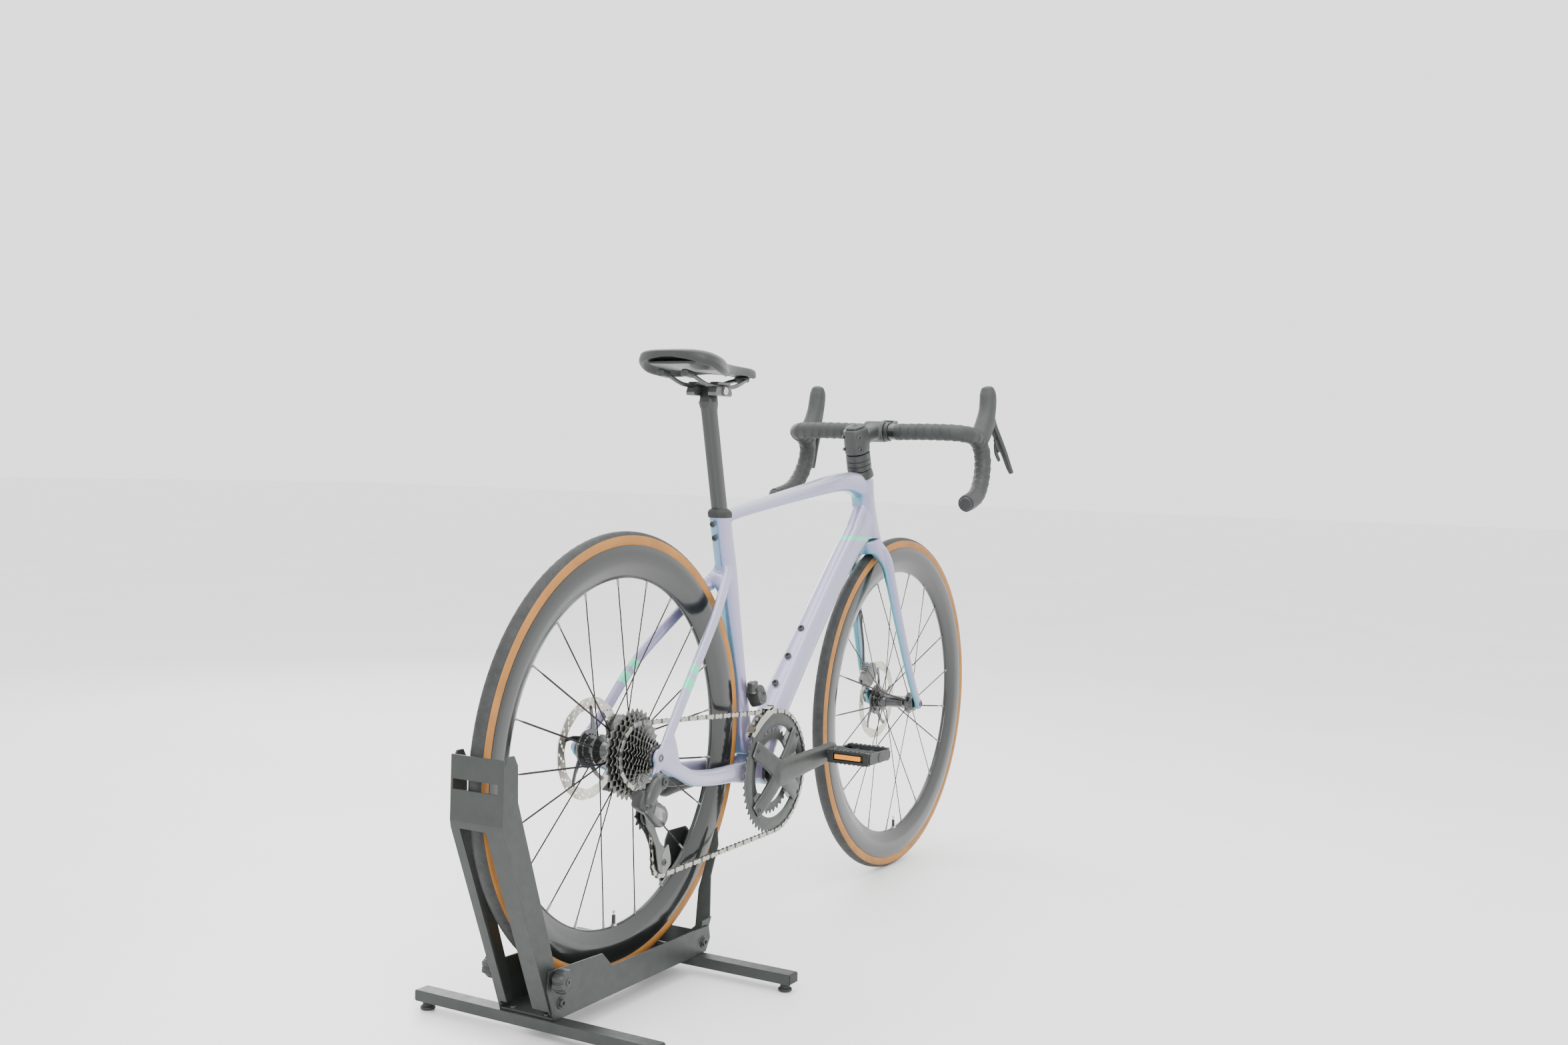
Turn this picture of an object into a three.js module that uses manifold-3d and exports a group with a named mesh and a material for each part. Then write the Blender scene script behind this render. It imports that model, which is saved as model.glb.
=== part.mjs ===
// Road bicycle held by a folding display stand.
// Units are millimetres, +X is forward, +Y is the rider's left and +Z is up.
// Everything is laid out from the rear wheel's axle, then moved so that the
// origin is under the middle of the whole object, on the floor.

import * as THREE from 'three';
import { mergeVertices } from 'three/addons/utils/BufferGeometryUtils.js';
import Module from 'manifold-3d';

const wasm = await Module();
wasm.setup();

// ---------------------------------------------------------------- dimensions

const GAP = 0.3;              // space left between pieces that touch
const TURNING_GAP = 0.7;      // space round a shaft whose faceted corners turn in its bore
const SHEET = 3;              // wall of the stand's folded sheet

// wheels
const TYRE_RADIUS = 339.5;
const TYRE_HALF_WIDTH = 14;
const RIM_EDGE_RADIUS = 317;
const RIM_DEPTH = 50;
const RIM_HALF_WIDTH = 13.5;
const WHEEL_SIDES = 36;
const SPOKES = 21;
const SPOKE_RADIUS = 1.1;
const AXLE_RADIUS = 6;
const ROTOR_RADIUS = 80;
const ROTOR_THICKNESS = 1.8;
const REAR_DROPOUT_HALF = 71;
const FRONT_DROPOUT_HALF = 50;
const REAR_ROTOR_Y = 55.5;
const FRONT_ROTOR_Y = 39.5;

// layout of the bicycle
const REAR_WHEEL_LIFT = 30;   // the stand holds the rear tyre this far off the floor
const FRONT_AXLE_X = 986.5;
const BB_X = 408;
const BB_Z = 285;
const HEAD_ANGLE = 73;
const STEER_X = 797;          // a point on the steering axis, at STEER_Z
const STEER_Z = 809;
const SEAT_ANGLE = 75.7;
const SEAT_X = 276;           // seat post centre at the top of the seat tube
const SEAT_Z = 738;
const SEATPOST_EXPOSED = 180;
const SEATPOST_INSERTED = 95;
const RAIL_RADIUS = 3.5;
const SADDLE_RISE = 62;       // saddle top above the post's top
const SADDLE_LENGTH = 264;
const SADDLE_WIDTH = 146;
const SADDLE_SETBACK = 70;    // the saddle's middle is this far ahead of its tail clamp line

// drivetrain
const CHAIN_PITCH = 12.7;
const CHAIN_HALF_HEIGHT = 4.2;
const CHAIN_HALF_WIDTH = 2.5;
const CHAIN_CLEARANCE = 1.3;    // between the chain's band and the wheels that it runs on
const OUTER_TEETH = 52;
const INNER_TEETH = 36;
const SPROCKET_TEETH = [11, 12, 13, 14, 15, 17, 19, 21, 24, 27, 30, 34];
const ENGAGED = 8;            // index of the sprocket that the chain runs on
const SPROCKET_SPACING = 3.73;
const SMALL_SPROCKET_Y = -66.5;
const PULLEY_TEETH = 11;
const CRANK_LENGTH = 172.5;
const CRANK_ANGLE = 4.6;      // right crank points forward and slightly up
const OUTER_RING_Y = -46.5;
const SPINDLE_RADIUS = 12;
const BB_HALF_WIDTH = 35;
const GUIDE_PULLEY = [20, 276];
const TENSION_PULLEY = [70, 192];

// cockpit
const BAR_RADIUS = 15.5;
const BAR_HALF_WIDTH = 193;
const STEERER_RADIUS = 15;
const CROWN_SWEEP = 38;       // room in the down tube for the fork's crown to turn
const COVER_SWEEP = 31.5;       // the headset cover turns inside this radius
const HEAD_LOW_Z = 681;         // ends of the head tube, on the steering axis
const HEAD_HIGH_Z = 800;
const STEM_LENGTH = 88;
const HOOD_RISE = 88;
const BAR_STEPS = 48;

// stand
const STAND_Y = -13;          // middle of the channel, beside the wheel's plane
const BAR_OFFSET_Y = -9;      // middle of the floor bars beside the channel
const FLOOR_BAR_LENGTH = 422;
const FLOOR_BAR_WIDTH = 26.5;
const FLOOR_BAR_HEIGHT = 16.5;
const FOOT_HEIGHT = 12.8;
const FOOT_INSET = 13.4;
const REAR_BAR_X = -217.5;
const FRONT_BAR_X = 154.5;
const CHANNEL_HALF_WIDTH = 49;
const CHANNEL_REAR_X = -225;
const CHANNEL_FRONT_X = 180;
const CHANNEL_WALL = 44;      // height of the side plates above the floor bars
const ARM_TOP_Z = 416;        // top of the rear arm
const FRONT_ARM_TOP_Z = 212;
const FRONT_ARM_LEAN = 27;
const FLANGE_DEPTH = 28;
const NEAR_LEG_WIDTH = 30;
const STRAP_ZONE = 104;       // height of the rear arm's two straps
const TYRE_CLEARANCE = 3;     // room between the tyre and the sheet around it

// ------------------------------------------------------------ derived places

const rad = THREE.MathUtils.degToRad;
const REAR_AXLE_Z = TYRE_RADIUS + REAR_WHEEL_LIFT;
const FRONT_AXLE_Z = TYRE_RADIUS;
const pitchRadius = (teeth) => teeth * CHAIN_PITCH / (2 * Math.PI);
const steerX = (z) => STEER_X + (STEER_Z - z) / Math.tan(rad(HEAD_ANGLE));
const seatX = (z) => SEAT_X - (z - SEAT_Z) / Math.tan(rad(SEAT_ANGLE));
const sprocketY = (index) => SMALL_SPROCKET_Y + index * SPROCKET_SPACING;
const CHAIN_Y = sprocketY(ENGAGED);
const POST_TOP_Z = SEAT_Z + SEATPOST_EXPOSED;
const BAR_TOP_Z = FOOT_HEIGHT + FLOOR_BAR_HEIGHT;
const ARM_HALF_WIDTH = CHANNEL_HALF_WIDTH - SHEET - 0.5;

// ------------------------------------------------------------------ geometry

const P = (x, y, z) => new THREE.Vector3(x, y, z);

function solid(geometry) {
  const bare = geometry.clone();
  bare.deleteAttribute('normal');
  bare.deleteAttribute('uv');
  const merged = mergeVertices(bare, 1e-4);
  return new wasm.Manifold(new wasm.Mesh({
    numProp: 3,
    vertProperties: Float32Array.from(merged.attributes.position.array),
    triVerts: Uint32Array.from(merged.index.array),
  }));
}

function geometryOf(manifold) {
  const mesh = manifold.getMesh();
  const geometry = new THREE.BufferGeometry();
  geometry.setAttribute('position', new THREE.BufferAttribute(Float32Array.from(mesh.vertProperties), 3));
  geometry.setIndex(new THREE.BufferAttribute(Uint32Array.from(mesh.triVerts), 1));
  geometry.computeVertexNormals();
  return geometry;
}

function join(...geometries) {
  return geometryOf(geometries.map(solid).reduce((whole, next) => whole.add(next)));
}

function cut(geometry, ...tools) {
  return geometryOf(tools.map(solid).reduce((whole, next) => whole.subtract(next), solid(geometry)));
}

function signedVolume(positions, index) {
  let volume = 0;
  for (let i = 0; i < index.length; i += 3) {
    const [a, b, c] = [0, 1, 2].map((k) => positions[index[i + k]]);
    volume += a.dot(b.clone().cross(c));
  }
  return volume;
}

// Skins a list of rings that all have the same number of points. Open ends get caps.
function skin(rings, closed = false) {
  const count = rings[0].length;
  const positions = rings.flat();
  const index = [];
  const spans = closed ? rings.length : rings.length - 1;
  for (let r = 0; r < spans; r += 1) {
    const next = (r + 1) % rings.length;
    for (let i = 0; i < count; i += 1) {
      const j = (i + 1) % count;
      index.push(r * count + i, r * count + j, next * count + i);
      index.push(r * count + j, next * count + j, next * count + i);
    }
  }
  if (!closed) {
    for (const [ring, flip] of [[0, true], [rings.length - 1, false]]) {
      const middle = rings[ring].reduce((sum, p) => sum.add(p), P(0, 0, 0)).divideScalar(count);
      const hub = positions.push(middle) - 1;
      for (let i = 0; i < count; i += 1) {
        const a = ring * count + i;
        const b = ring * count + (i + 1) % count;
        index.push(...(flip ? [hub, b, a] : [hub, a, b]));
      }
    }
  }
  if (signedVolume(positions, index) < 0) index.reverse();
  const geometry = new THREE.BufferGeometry();
  geometry.setFromPoints(positions);
  geometry.setIndex(index);
  geometry.computeVertexNormals();
  return geometry;
}

// A rounded box outline: exponent 2 is an ellipse and higher is squarer.
function outline(halfA, halfB, exponent, count) {
  const power = (value) => Math.sign(value) * Math.abs(value) ** (2 / exponent);
  return Array.from({ length: count }, (_, i) => {
    const angle = (i + 0.5) / count * 2 * Math.PI;
    return [halfA * power(Math.cos(angle)), halfB * power(Math.sin(angle))];
  });
}

// A tube through stations {at, side, up, square}: half-widths across and in the tube's own plane.
function tube(stations, grow = 0, count = 10) {
  const centres = stations.map((s) => P(...s.at));
  return skin(stations.map((s, i) => {
    const before = centres[Math.max(i - 1, 0)];
    const after = centres[Math.min(i + 1, centres.length - 1)];
    const along = after.clone().sub(before).normalize();
    const across = P(0, 1, 0).addScaledVector(along, -along.y).normalize();
    const upward = across.clone().cross(along);
    return outline(s.side + grow, s.up + grow, s.square ?? 2.6, count).map(([a, b]) =>
      centres[i].clone().addScaledVector(across, a).addScaledVector(upward, b));
  }));
}

// A post whose level sections are {z, rear, front, half}.
function column(sections, grow = 0, count = 10, square = 3) {
  return skin(sections.map((s) => outline((s.front - s.rear) / 2 + grow, s.half + grow, square, count)
    .map(([a, b]) => P((s.front + s.rear) / 2 + a, b, s.z))));
}

const mirrored = (stations) => stations.map((s) => ({ ...s, at: [s.at[0], -s.at[1], s.at[2]] }));

function box(x0, x1, y0, y1, z0, z1) {
  return new THREE.BoxGeometry(x1 - x0, y1 - y0, z1 - z0)
    .translate((x0 + x1) / 2, (y0 + y1) / 2, (z0 + z1) / 2);
}

// A round bar across the object, from y0 to y1.
function crossBar(radius, y0, y1, x = 0, z = 0, sides = 14, endRadius = radius) {
  return new THREE.CylinderGeometry(endRadius, radius, y1 - y0, sides).translate(x, (y0 + y1) / 2, z);
}

function rod(from, to, radius, sides = 8) {
  const along = to.clone().sub(from);
  const geometry = new THREE.CylinderGeometry(radius, radius, along.length(), sides);
  geometry.applyQuaternion(new THREE.Quaternion().setFromUnitVectors(P(0, 1, 0), along.clone().normalize()));
  return geometry.translate(...from.clone().lerp(to, 0.5).toArray());
}

// Turns a closed outline of [radius, y] points about the Y axis.
function turned(points, sides) {
  const loop = points.map(([r, y]) => new THREE.Vector2(r, y));
  if (THREE.ShapeUtils.area(loop) < 0) loop.reverse();
  return new THREE.LatheGeometry([...loop, loop[0]], sides);
}

// A flat plate between y0 and y1 with its outline in the XZ plane.
function plate(points, y0, y1) {
  const shape = new THREE.Shape(points.map(([x, z]) => new THREE.Vector2(x, z)));
  return new THREE.ExtrudeGeometry(shape, { depth: y1 - y0, bevelEnabled: false })
    .rotateX(Math.PI / 2).translate(0, y1, 0);
}

function bentTube(points, radius, steps, sides) {
  const ring = outline(radius, radius, 2, sides).map(([a, b]) => new THREE.Vector2(a, b));
  return new THREE.ExtrudeGeometry(new THREE.Shape(ring), {
    steps, bevelEnabled: false, extrudePath: new THREE.CatmullRomCurve3(points.map((p) => P(...p))),
  });
}

// ----------------------------------------------------------------- materials

const finish = (color, roughness, metalness) => new THREE.MeshStandardMaterial({ color, roughness, metalness });
const LILAC = finish(0xb9b4d6, 0.35, 0.35);
const CARBON = finish(0x1d2022, 0.3, 0.1);
const RUBBER = finish(0x262728, 0.85, 0);
const POWDER = finish(0x3a3f3d, 0.6, 0.3);
const SILVER = finish(0xb9bcbb, 0.35, 0.9);
const DARK_METAL = finish(0x4a4d4e, 0.4, 0.8);
const BLACK_PLASTIC = finish(0x1f2122, 0.55, 0);

const root = new THREE.Group();

function add(parent, name, geometry, material) {
  const mesh = new THREE.Mesh(geometry, material);
  mesh.name = name;
  parent.add(mesh);
  return mesh;
}

function place(parent, x, y, z) {
  const group = new THREE.Group();
  group.position.set(x, y, z);
  parent.add(group);
  return group;
}

// --------------------------------------------------------------------- stand

const stand = place(root, 0, STAND_Y, 0);

function buildStand() {
  const base = BAR_TOP_Z + GAP;
  const top = BAR_TOP_Z + CHANNEL_WALL;
  const side = [
    [CHANNEL_REAR_X, base], [CHANNEL_REAR_X - 18, base + 46], [CHANNEL_REAR_X - 16, top + 30],
    [CHANNEL_REAR_X + 112, top + 24], [CHANNEL_REAR_X + 137, top],
    [CHANNEL_FRONT_X, top - 3], [CHANNEL_FRONT_X + 5, base + 20], [CHANNEL_FRONT_X - 7, base],
  ];
  const half = CHANNEL_HALF_WIDTH;
  const tyreClearance = REAR_AXLE_Z - (base + SHEET + GAP);
  const wellHalf = Math.sqrt(TYRE_RADIUS ** 2 - Math.min(tyreClearance, TYRE_RADIUS) ** 2) + 1;
  const well = box(-wellHalf, wellHalf, -STAND_Y - 22, -STAND_Y + 22, base - 1, base + SHEET + 1);
  add(stand, 'stand_channel', cut(join(
    plate(side, -half, -half + SHEET),
    plate(side, half - SHEET, half),
    box(CHANNEL_REAR_X, CHANNEL_FRONT_X - 7, -half, half, base, base + SHEET),
  ), well), POWDER);

  for (const [label, x] of [['rear', REAR_BAR_X], ['front', FRONT_BAR_X]]) {
    const bar = place(stand, x, BAR_OFFSET_Y, 0);
    const halfWidth = FLOOR_BAR_WIDTH / 2;
    const halfLength = FLOOR_BAR_LENGTH / 2;
    add(bar, `stand_${label}_bar`,
      box(-halfWidth, halfWidth, -halfLength, halfLength, FOOT_HEIGHT, BAR_TOP_Z), POWDER);
    for (const [hand, sign] of [['left', 1], ['right', -1]]) {
      const foot = new THREE.CylinderGeometry(11, 9.5, FOOT_HEIGHT - GAP, 16).rotateX(Math.PI / 2);
      foot.translate(0, sign * (halfLength - FOOT_INSET), (FOOT_HEIGHT - GAP) / 2);
      add(bar, `stand_foot_${label}_${hand}`, foot, RUBBER);
    }
  }
}

// The rear arm is a folded hoop: two side flanges, a rear face and two straps behind the tyre.
function buildRearArm() {
  const low = BAR_TOP_Z + GAP + SHEET + 3;
  const foot = CHANNEL_REAR_X - 8;
  const half = ARM_HALF_WIDTH;
  const strapX = -(TYRE_RADIUS + TYRE_CLEARANCE + SHEET);
  const bend = ARM_TOP_Z - STRAP_ZONE;
  const flange = [
    [foot + 6, low], [foot, low + 8], [strapX + 2, bend], [strapX + 2, ARM_TOP_Z - 12], [strapX + 10, ARM_TOP_Z],
    [strapX + FLANGE_DEPTH - 6, ARM_TOP_Z], [strapX + FLANGE_DEPTH + 2, ARM_TOP_Z - 14],
    [strapX + FLANGE_DEPTH + 4, bend + 40], [foot + FLANGE_DEPTH + 2, low + 16], [foot + FLANGE_DEPTH - 2, low],
  ];
  const face = [
    [foot, low + 8], [strapX + 2, bend], [strapX, bend + 10], [strapX, ARM_TOP_Z - 4],
    [strapX + SHEET, ARM_TOP_Z - 4], [strapX + SHEET, bend + 10],
    [strapX + 2 + SHEET, bend], [foot + SHEET, low + 8],
  ];
  const tyreSide = -STAND_Y + TYRE_HALF_WIDTH + TYRE_CLEARANCE;
  const window = box(strapX - 20, 0, -half + NEAR_LEG_WIDTH, tyreSide, low - 1, bend);
  const slot = box(strapX - 20, strapX + 12, -half + 10, half - SHEET - 1, ARM_TOP_Z - 51, ARM_TOP_Z - 37);
  add(stand, 'stand_rear_arm', cut(join(
    plate(flange, -half, -half + SHEET),
    plate(flange, half - SHEET, half),
    plate(face, -half, half),
  ), window, slot), POWDER);
}

// The front arm is a sheet that leans forward, with a leg on each side of the tyre. The leg
// on the chain's side narrows to pass inside the chain.
function buildFrontArm() {
  const low = BAR_TOP_Z + GAP + SHEET + 2;
  const half = ARM_HALF_WIDTH;
  const lean = rad(FRONT_ARM_LEAN);
  const reach = (FRONT_ARM_TOP_Z - low) / Math.cos(lean);
  const nearLeg = -STAND_Y - TYRE_HALF_WIDTH - TYRE_CLEARANCE - 5;
  const farLeg = -STAND_Y + TYRE_HALF_WIDTH + TYRE_CLEARANCE;
  const chainSide = -STAND_Y - 38;
  const outlinePoints = [
    [-half, 0], [-half, 46], [chainSide, 118], [chainSide + 2, reach - 28], [nearLeg - 3, reach],
    [nearLeg, reach - 4], [nearLeg, 92], [-half + 24, 34], [-half + 30, 28], [farLeg - 8, 28], [farLeg, 38],
    [farLeg, reach - 26], [farLeg + 6, reach - 4], [half, reach - 20], [half, 0],
  ];
  const sheet = new THREE.ExtrudeGeometry(
    new THREE.Shape(outlinePoints.map(([y, along]) => new THREE.Vector2(y, along))),
    { depth: SHEET, bevelEnabled: false });
  sheet.applyMatrix4(new THREE.Matrix4().makeBasis(
    P(0, 1, 0), P(Math.sin(lean), 0, Math.cos(lean)), P(Math.cos(lean), 0, -Math.sin(lean))));
  const foot = CHANNEL_FRONT_X - 14;
  sheet.translate(foot, 0, low);
  const at = (along, back) => [
    foot + along * Math.sin(lean) + (SHEET - back) * Math.cos(lean),
    low + along * Math.cos(lean) - (SHEET - back) * Math.sin(lean),
  ];
  const flange = [at(0, 0), at(0, 14), at(40, 26), at(reach - 46, 58), at(reach - 30, 56), at(reach - 8, 10),
    at(reach - 10, 0)];
  const cheek = [at(0, 0), at(0, 14), at(40, 24), at(54, 0)];
  add(stand, 'stand_front_arm', join(sheet, plate(flange, half - SHEET, half),
    plate(cheek, -half, -half + SHEET)), POWDER);
}

function buildKnobs() {
  for (const [hand, sign] of [['left', 1], ['right', -1]]) {
    const inner = CHANNEL_HALF_WIDTH + GAP;
    const lobes = Array.from({ length: 7 }, (_, i) => {
      const angle = i / 7 * 2 * Math.PI;
      return crossBar(5, inner + 4, inner + 22, 13.5 * Math.cos(angle), 13.5 * Math.sin(angle), 6);
    });
    const knob = join(crossBar(14, inner + 4, inner + 23, 0, 0, 14), crossBar(9, inner, inner + 5, 0, 0, 12), ...lobes);
    if (sign < 0) knob.rotateZ(Math.PI);
    add(place(stand, CHANNEL_REAR_X - 1, 0, BAR_TOP_Z + 60), `stand_knob_${hand}`, knob, BLACK_PLASTIC);
  }
}

// -------------------------------------------------------------------- wheels

function buildWheel(group, end, hub) {
  const beadRadius = RIM_EDGE_RADIUS - RIM_DEPTH;
  const tyreMiddle = TYRE_RADIUS - TYRE_HALF_WIDTH;
  const foot = RIM_EDGE_RADIUS + GAP;
  const crown = [-90, -54, -18, 18, 54, 90].map((angle) =>
    [tyreMiddle + TYRE_HALF_WIDTH * Math.cos(rad(angle)), TYRE_HALF_WIDTH * Math.sin(rad(angle))]);
  const tyreOutline = [[foot, -TYRE_HALF_WIDTH * 0.8], ...crown, [foot, TYRE_HALF_WIDTH * 0.8]];
  add(group, `${end}_tyre`, turned(tyreOutline, WHEEL_SIDES), RUBBER);

  const rim = [
    [RIM_EDGE_RADIUS, -RIM_HALF_WIDTH + 1], [RIM_EDGE_RADIUS - 24, -RIM_HALF_WIDTH], [beadRadius + 8, -7],
    [beadRadius, -3], [beadRadius, 3], [beadRadius + 8, 7], [RIM_EDGE_RADIUS - 24, RIM_HALF_WIDTH],
    [RIM_EDGE_RADIUS, RIM_HALF_WIDTH - 1],
  ];
  add(group, `${end}_rim`, turned(rim, WHEEL_SIDES), CARBON);

  // Hub shell with its spokes: two spokes on the loaded flange for each one on the other.
  const bore = AXLE_RADIUS + GAP;
  const shell = turned([
    [bore, hub.right], [hub.endRadius, hub.right], [hub.flangeRadius, hub.rightFlange - 2],
    [hub.flangeRadius, hub.rightFlange + 2], [12, hub.rightFlange + 10], [12, hub.leftFlange - 10],
    [hub.flangeRadius, hub.leftFlange - 2], [hub.flangeRadius, hub.leftFlange + 2],
    [hub.endRadius, hub.leftFlange + 6], [hub.endRadius, hub.left], [bore, hub.left],
  ], 12);
  const nippleRadius = beadRadius * Math.cos(Math.PI / WHEEL_SIDES) - GAP;
  const spokes = Array.from({ length: SPOKES }, (_, i) => {
    const loaded = i % 3 !== 0;
    const flange = loaded === hub.rightLoaded ? hub.rightFlange : hub.leftFlange;
    const reach = (i + 0.5) / SPOKES * 2 * Math.PI + rad(hub.turn);
    const lead = loaded ? (i % 3 === 1 ? 0.55 : -0.55) : 0;
    const spot = (radius, angle, y) => P(radius * Math.cos(angle), y, radius * Math.sin(angle));
    return rod(spot(hub.flangeRadius * 0.9, reach + lead, flange),
      spot(nippleRadius, reach, Math.sign(flange)), SPOKE_RADIUS, 4);
  });
  add(group, `${end}_hub_and_spokes`, join(shell, ...spokes), DARK_METAL);

  const half = ROTOR_THICKNESS / 2;
  const ring = (inner, outer) => turned([
    [inner, hub.rotorY - half], [outer, hub.rotorY - half], [outer, hub.rotorY + half], [inner, hub.rotorY + half],
  ], 24);
  const arms = Array.from({ length: 5 }, (_, i) => box(24, 70, hub.rotorY - half, hub.rotorY + half, -6, 6)
    .rotateY(i / 5 * 2 * Math.PI));
  add(group, `${end}_brake_rotor`, join(ring(64, ROTOR_RADIUS), ring(hub.endRadius + GAP, 28), ...arms), SILVER);
}

const rearWheel = place(root, 0, 0, REAR_AXLE_Z);
const frontWheel = place(root, FRONT_AXLE_X, 0, FRONT_AXLE_Z);

// --------------------------------------------------------------------- frame

const seatTubeSections = [
  { z: 318, rear: 352, front: 404, half: 24 },
  { z: 360, rear: TYRE_RADIUS + 6, front: 384, half: 19 },
  { z: 420, rear: TYRE_RADIUS + 3, front: 371, half: 15 },
  { z: 480, rear: 328, front: 358, half: 14 },
  { z: 560, rear: 304, front: 341, half: 14 },
  { z: 640, rear: 281, front: 324, half: 14.5 },
  { z: 690, rear: 267, front: 310, half: 14.5 },
  { z: SEAT_Z - 2, rear: 254, front: 297, half: 14.5 },
];
const topTubeStations = [
  { at: [282, 0, 724], side: 14, up: 9, square: 3 },
  { at: [340, 0, 737], side: 16, up: 9.5, square: 3 },
  { at: [560, 0, 770], side: 17, up: 13, square: 3 },
  { at: [720, 0, 792], side: 19, up: 19, square: 3 },
  { at: [806, 0, 789], side: 22, up: 27, square: 3 },
];
const downTubeStations = [
  { at: [418, 0, 296], side: 30, up: 20, square: 3 },
  { at: [480, 0, 381], side: 25, up: 25, square: 2.8 },
  { at: [608, 0, 517], side: 21, up: 25, square: 2.8 },
  { at: [740, 0, 648], side: 20, up: 27, square: 2.8 },
  { at: [828, 0, 718], side: 22, up: 34, square: 2.8 },
];
const headTubeSections = [
  { z: 670, rear: steerX(670) - 29, front: steerX(670) + 30, half: 27 },
  { z: 691, rear: steerX(691) - 28, front: steerX(691) + 30, half: 27 },
  { z: 715, rear: steerX(715) - 25, front: steerX(715) + 28, half: 23 },
  { z: 760, rear: steerX(760) - 24, front: steerX(760) + 27, half: 21 },
  { z: 800, rear: steerX(800) - 30, front: steerX(800) + 30, half: 24 },
  { z: 812, rear: steerX(812) - 30, front: steerX(812) + 30, half: 24 },
];
const chainstayStations = [
  { at: [0, -75, REAR_AXLE_Z - 4], side: 4, up: 14, square: 3 },
  { at: [60, -74, REAR_AXLE_Z - 30], side: 5, up: 13, square: 3 },
  { at: [110, -66, 321], side: 8, up: 13, square: 3 },
  { at: [200, -47, 306], side: 10, up: 14, square: 3 },
  { at: [285, -33, 298], side: 8, up: 16, square: 3 },
  { at: [335, -27.5, 292], side: 7, up: 19, square: 3 },
  { at: [390, -25, 288], side: 8, up: 21, square: 3 },
];
const seatstayStations = [
  { at: [14, -75, REAR_AXLE_Z + 14], side: 4, up: 8 },
  { at: [58, -66, 424], side: 6, up: 8 },
  { at: [125, -57, 495], side: 6, up: 8 },
  { at: [222, -34, 575], side: 6, up: 10 },
  { at: [292, -8, 636], side: 6, up: 12 },
];
const post = (z, halfDepth, halfWidth) => ({
  z, rear: seatX(z) - halfDepth, front: seatX(z) + halfDepth, half: halfWidth,
});
const postSections = (bottom, top) => [post(bottom, 16, 11), post(top, 16, 11)];

// Shapes square to the steering axis: height is measured along it from the head tube's end at z.
const onSteerer = (shape, z) => shape.rotateY(rad(HEAD_ANGLE - 90)).translate(steerX(z), 0, z);
const oval = (height, reach, half) => ({ z: height, rear: -reach, front: reach, half });
const slab = (low, high, z, reach = 80) => onSteerer(box(-reach, reach, -60, 60, low, high), z);
const crownSections = [
  { z: 657, rear: steerX(668) - 22, front: steerX(668) + 34, half: 30 },
  { z: 692, rear: steerX(692) - 26, front: steerX(692) + 26, half: 25 },
];
const steererPart = (low, high, radius, sides) =>
  rod(P(steerX(low), 0, low), P(steerX(high), 0, high), radius, sides);
const steeringBore = steererPart(600, 1000, STEERER_RADIUS + TURNING_GAP, 14);

function buildFrame() {
  const postBore = column(postSections(SEAT_Z - SEATPOST_INSERTED - 62, SEAT_Z + 40), GAP);
  const shellTool = (grow) => crossBar(25 + grow, -BB_HALF_WIDTH - grow, BB_HALF_WIDTH + grow, BB_X, BB_Z);
  const grownSeat = column(seatTubeSections, GAP);
  const grownHead = column(headTubeSections, GAP);
  const grownDown = tube(downTubeStations, GAP);
  const bearingBore = crossBar(SPINDLE_RADIUS + TURNING_GAP, -60, 60, BB_X, BB_Z);

  add(root, 'frame_seat_tube', cut(column(seatTubeSections), postBore), LILAC);
  add(root, 'frame_head_tube', cut(column(headTubeSections), steeringBore,
    slab(-40, 0, HEAD_LOW_Z), slab(0, 40, HEAD_HIGH_Z)), LILAC);
  add(root, 'frame_down_tube', cut(
    join(tube(downTubeStations), shellTool(0)), grownSeat, grownHead, bearingBore, steeringBore,
    steererPart(610, 692, CROWN_SWEEP, 18)), LILAC);
  add(root, 'frame_top_tube', cut(
    tube(topTubeStations), grownSeat, grownHead, grownDown, postBore, steeringBore,
    steererPart(HEAD_HIGH_Z, 850, COVER_SWEEP, 20)), LILAC);

  const axleHole = crossBar(AXLE_RADIUS + GAP, -90, 90, 0, REAR_AXLE_Z);
  for (const [hand, sign] of [['right', -1], ['left', 1]]) {
    const stations = (list) => (sign < 0 ? list : mirrored(list));
    const [y0, y1] = sign < 0 ? [-79, -REAR_DROPOUT_HALF] : [REAR_DROPOUT_HALF, 79];
    const dropout = (grow) => crossBar(15 + grow, y0 - grow, y1 + grow, 0, REAR_AXLE_Z);
    const hanger = rod(P(-3, sign * 75, REAR_AXLE_Z - 8), P(-12, sign * 75, REAR_AXLE_Z - 28), 3.9, 8);
    const chainstay = join(tube(stations(chainstayStations)), dropout(0), ...(sign < 0 ? [hanger] : []));
    add(root, `frame_chainstay_${hand}`,
      cut(chainstay, grownSeat, grownDown, shellTool(GAP), axleHole), LILAC);
    add(root, `frame_seatstay_${hand}`, cut(tube(stations(seatstayStations)), grownSeat, dropout(GAP),
      tube(stations(chainstayStations), GAP)), LILAC);
  }
}

// -------------------------------------------------------- seat post and saddle

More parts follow.
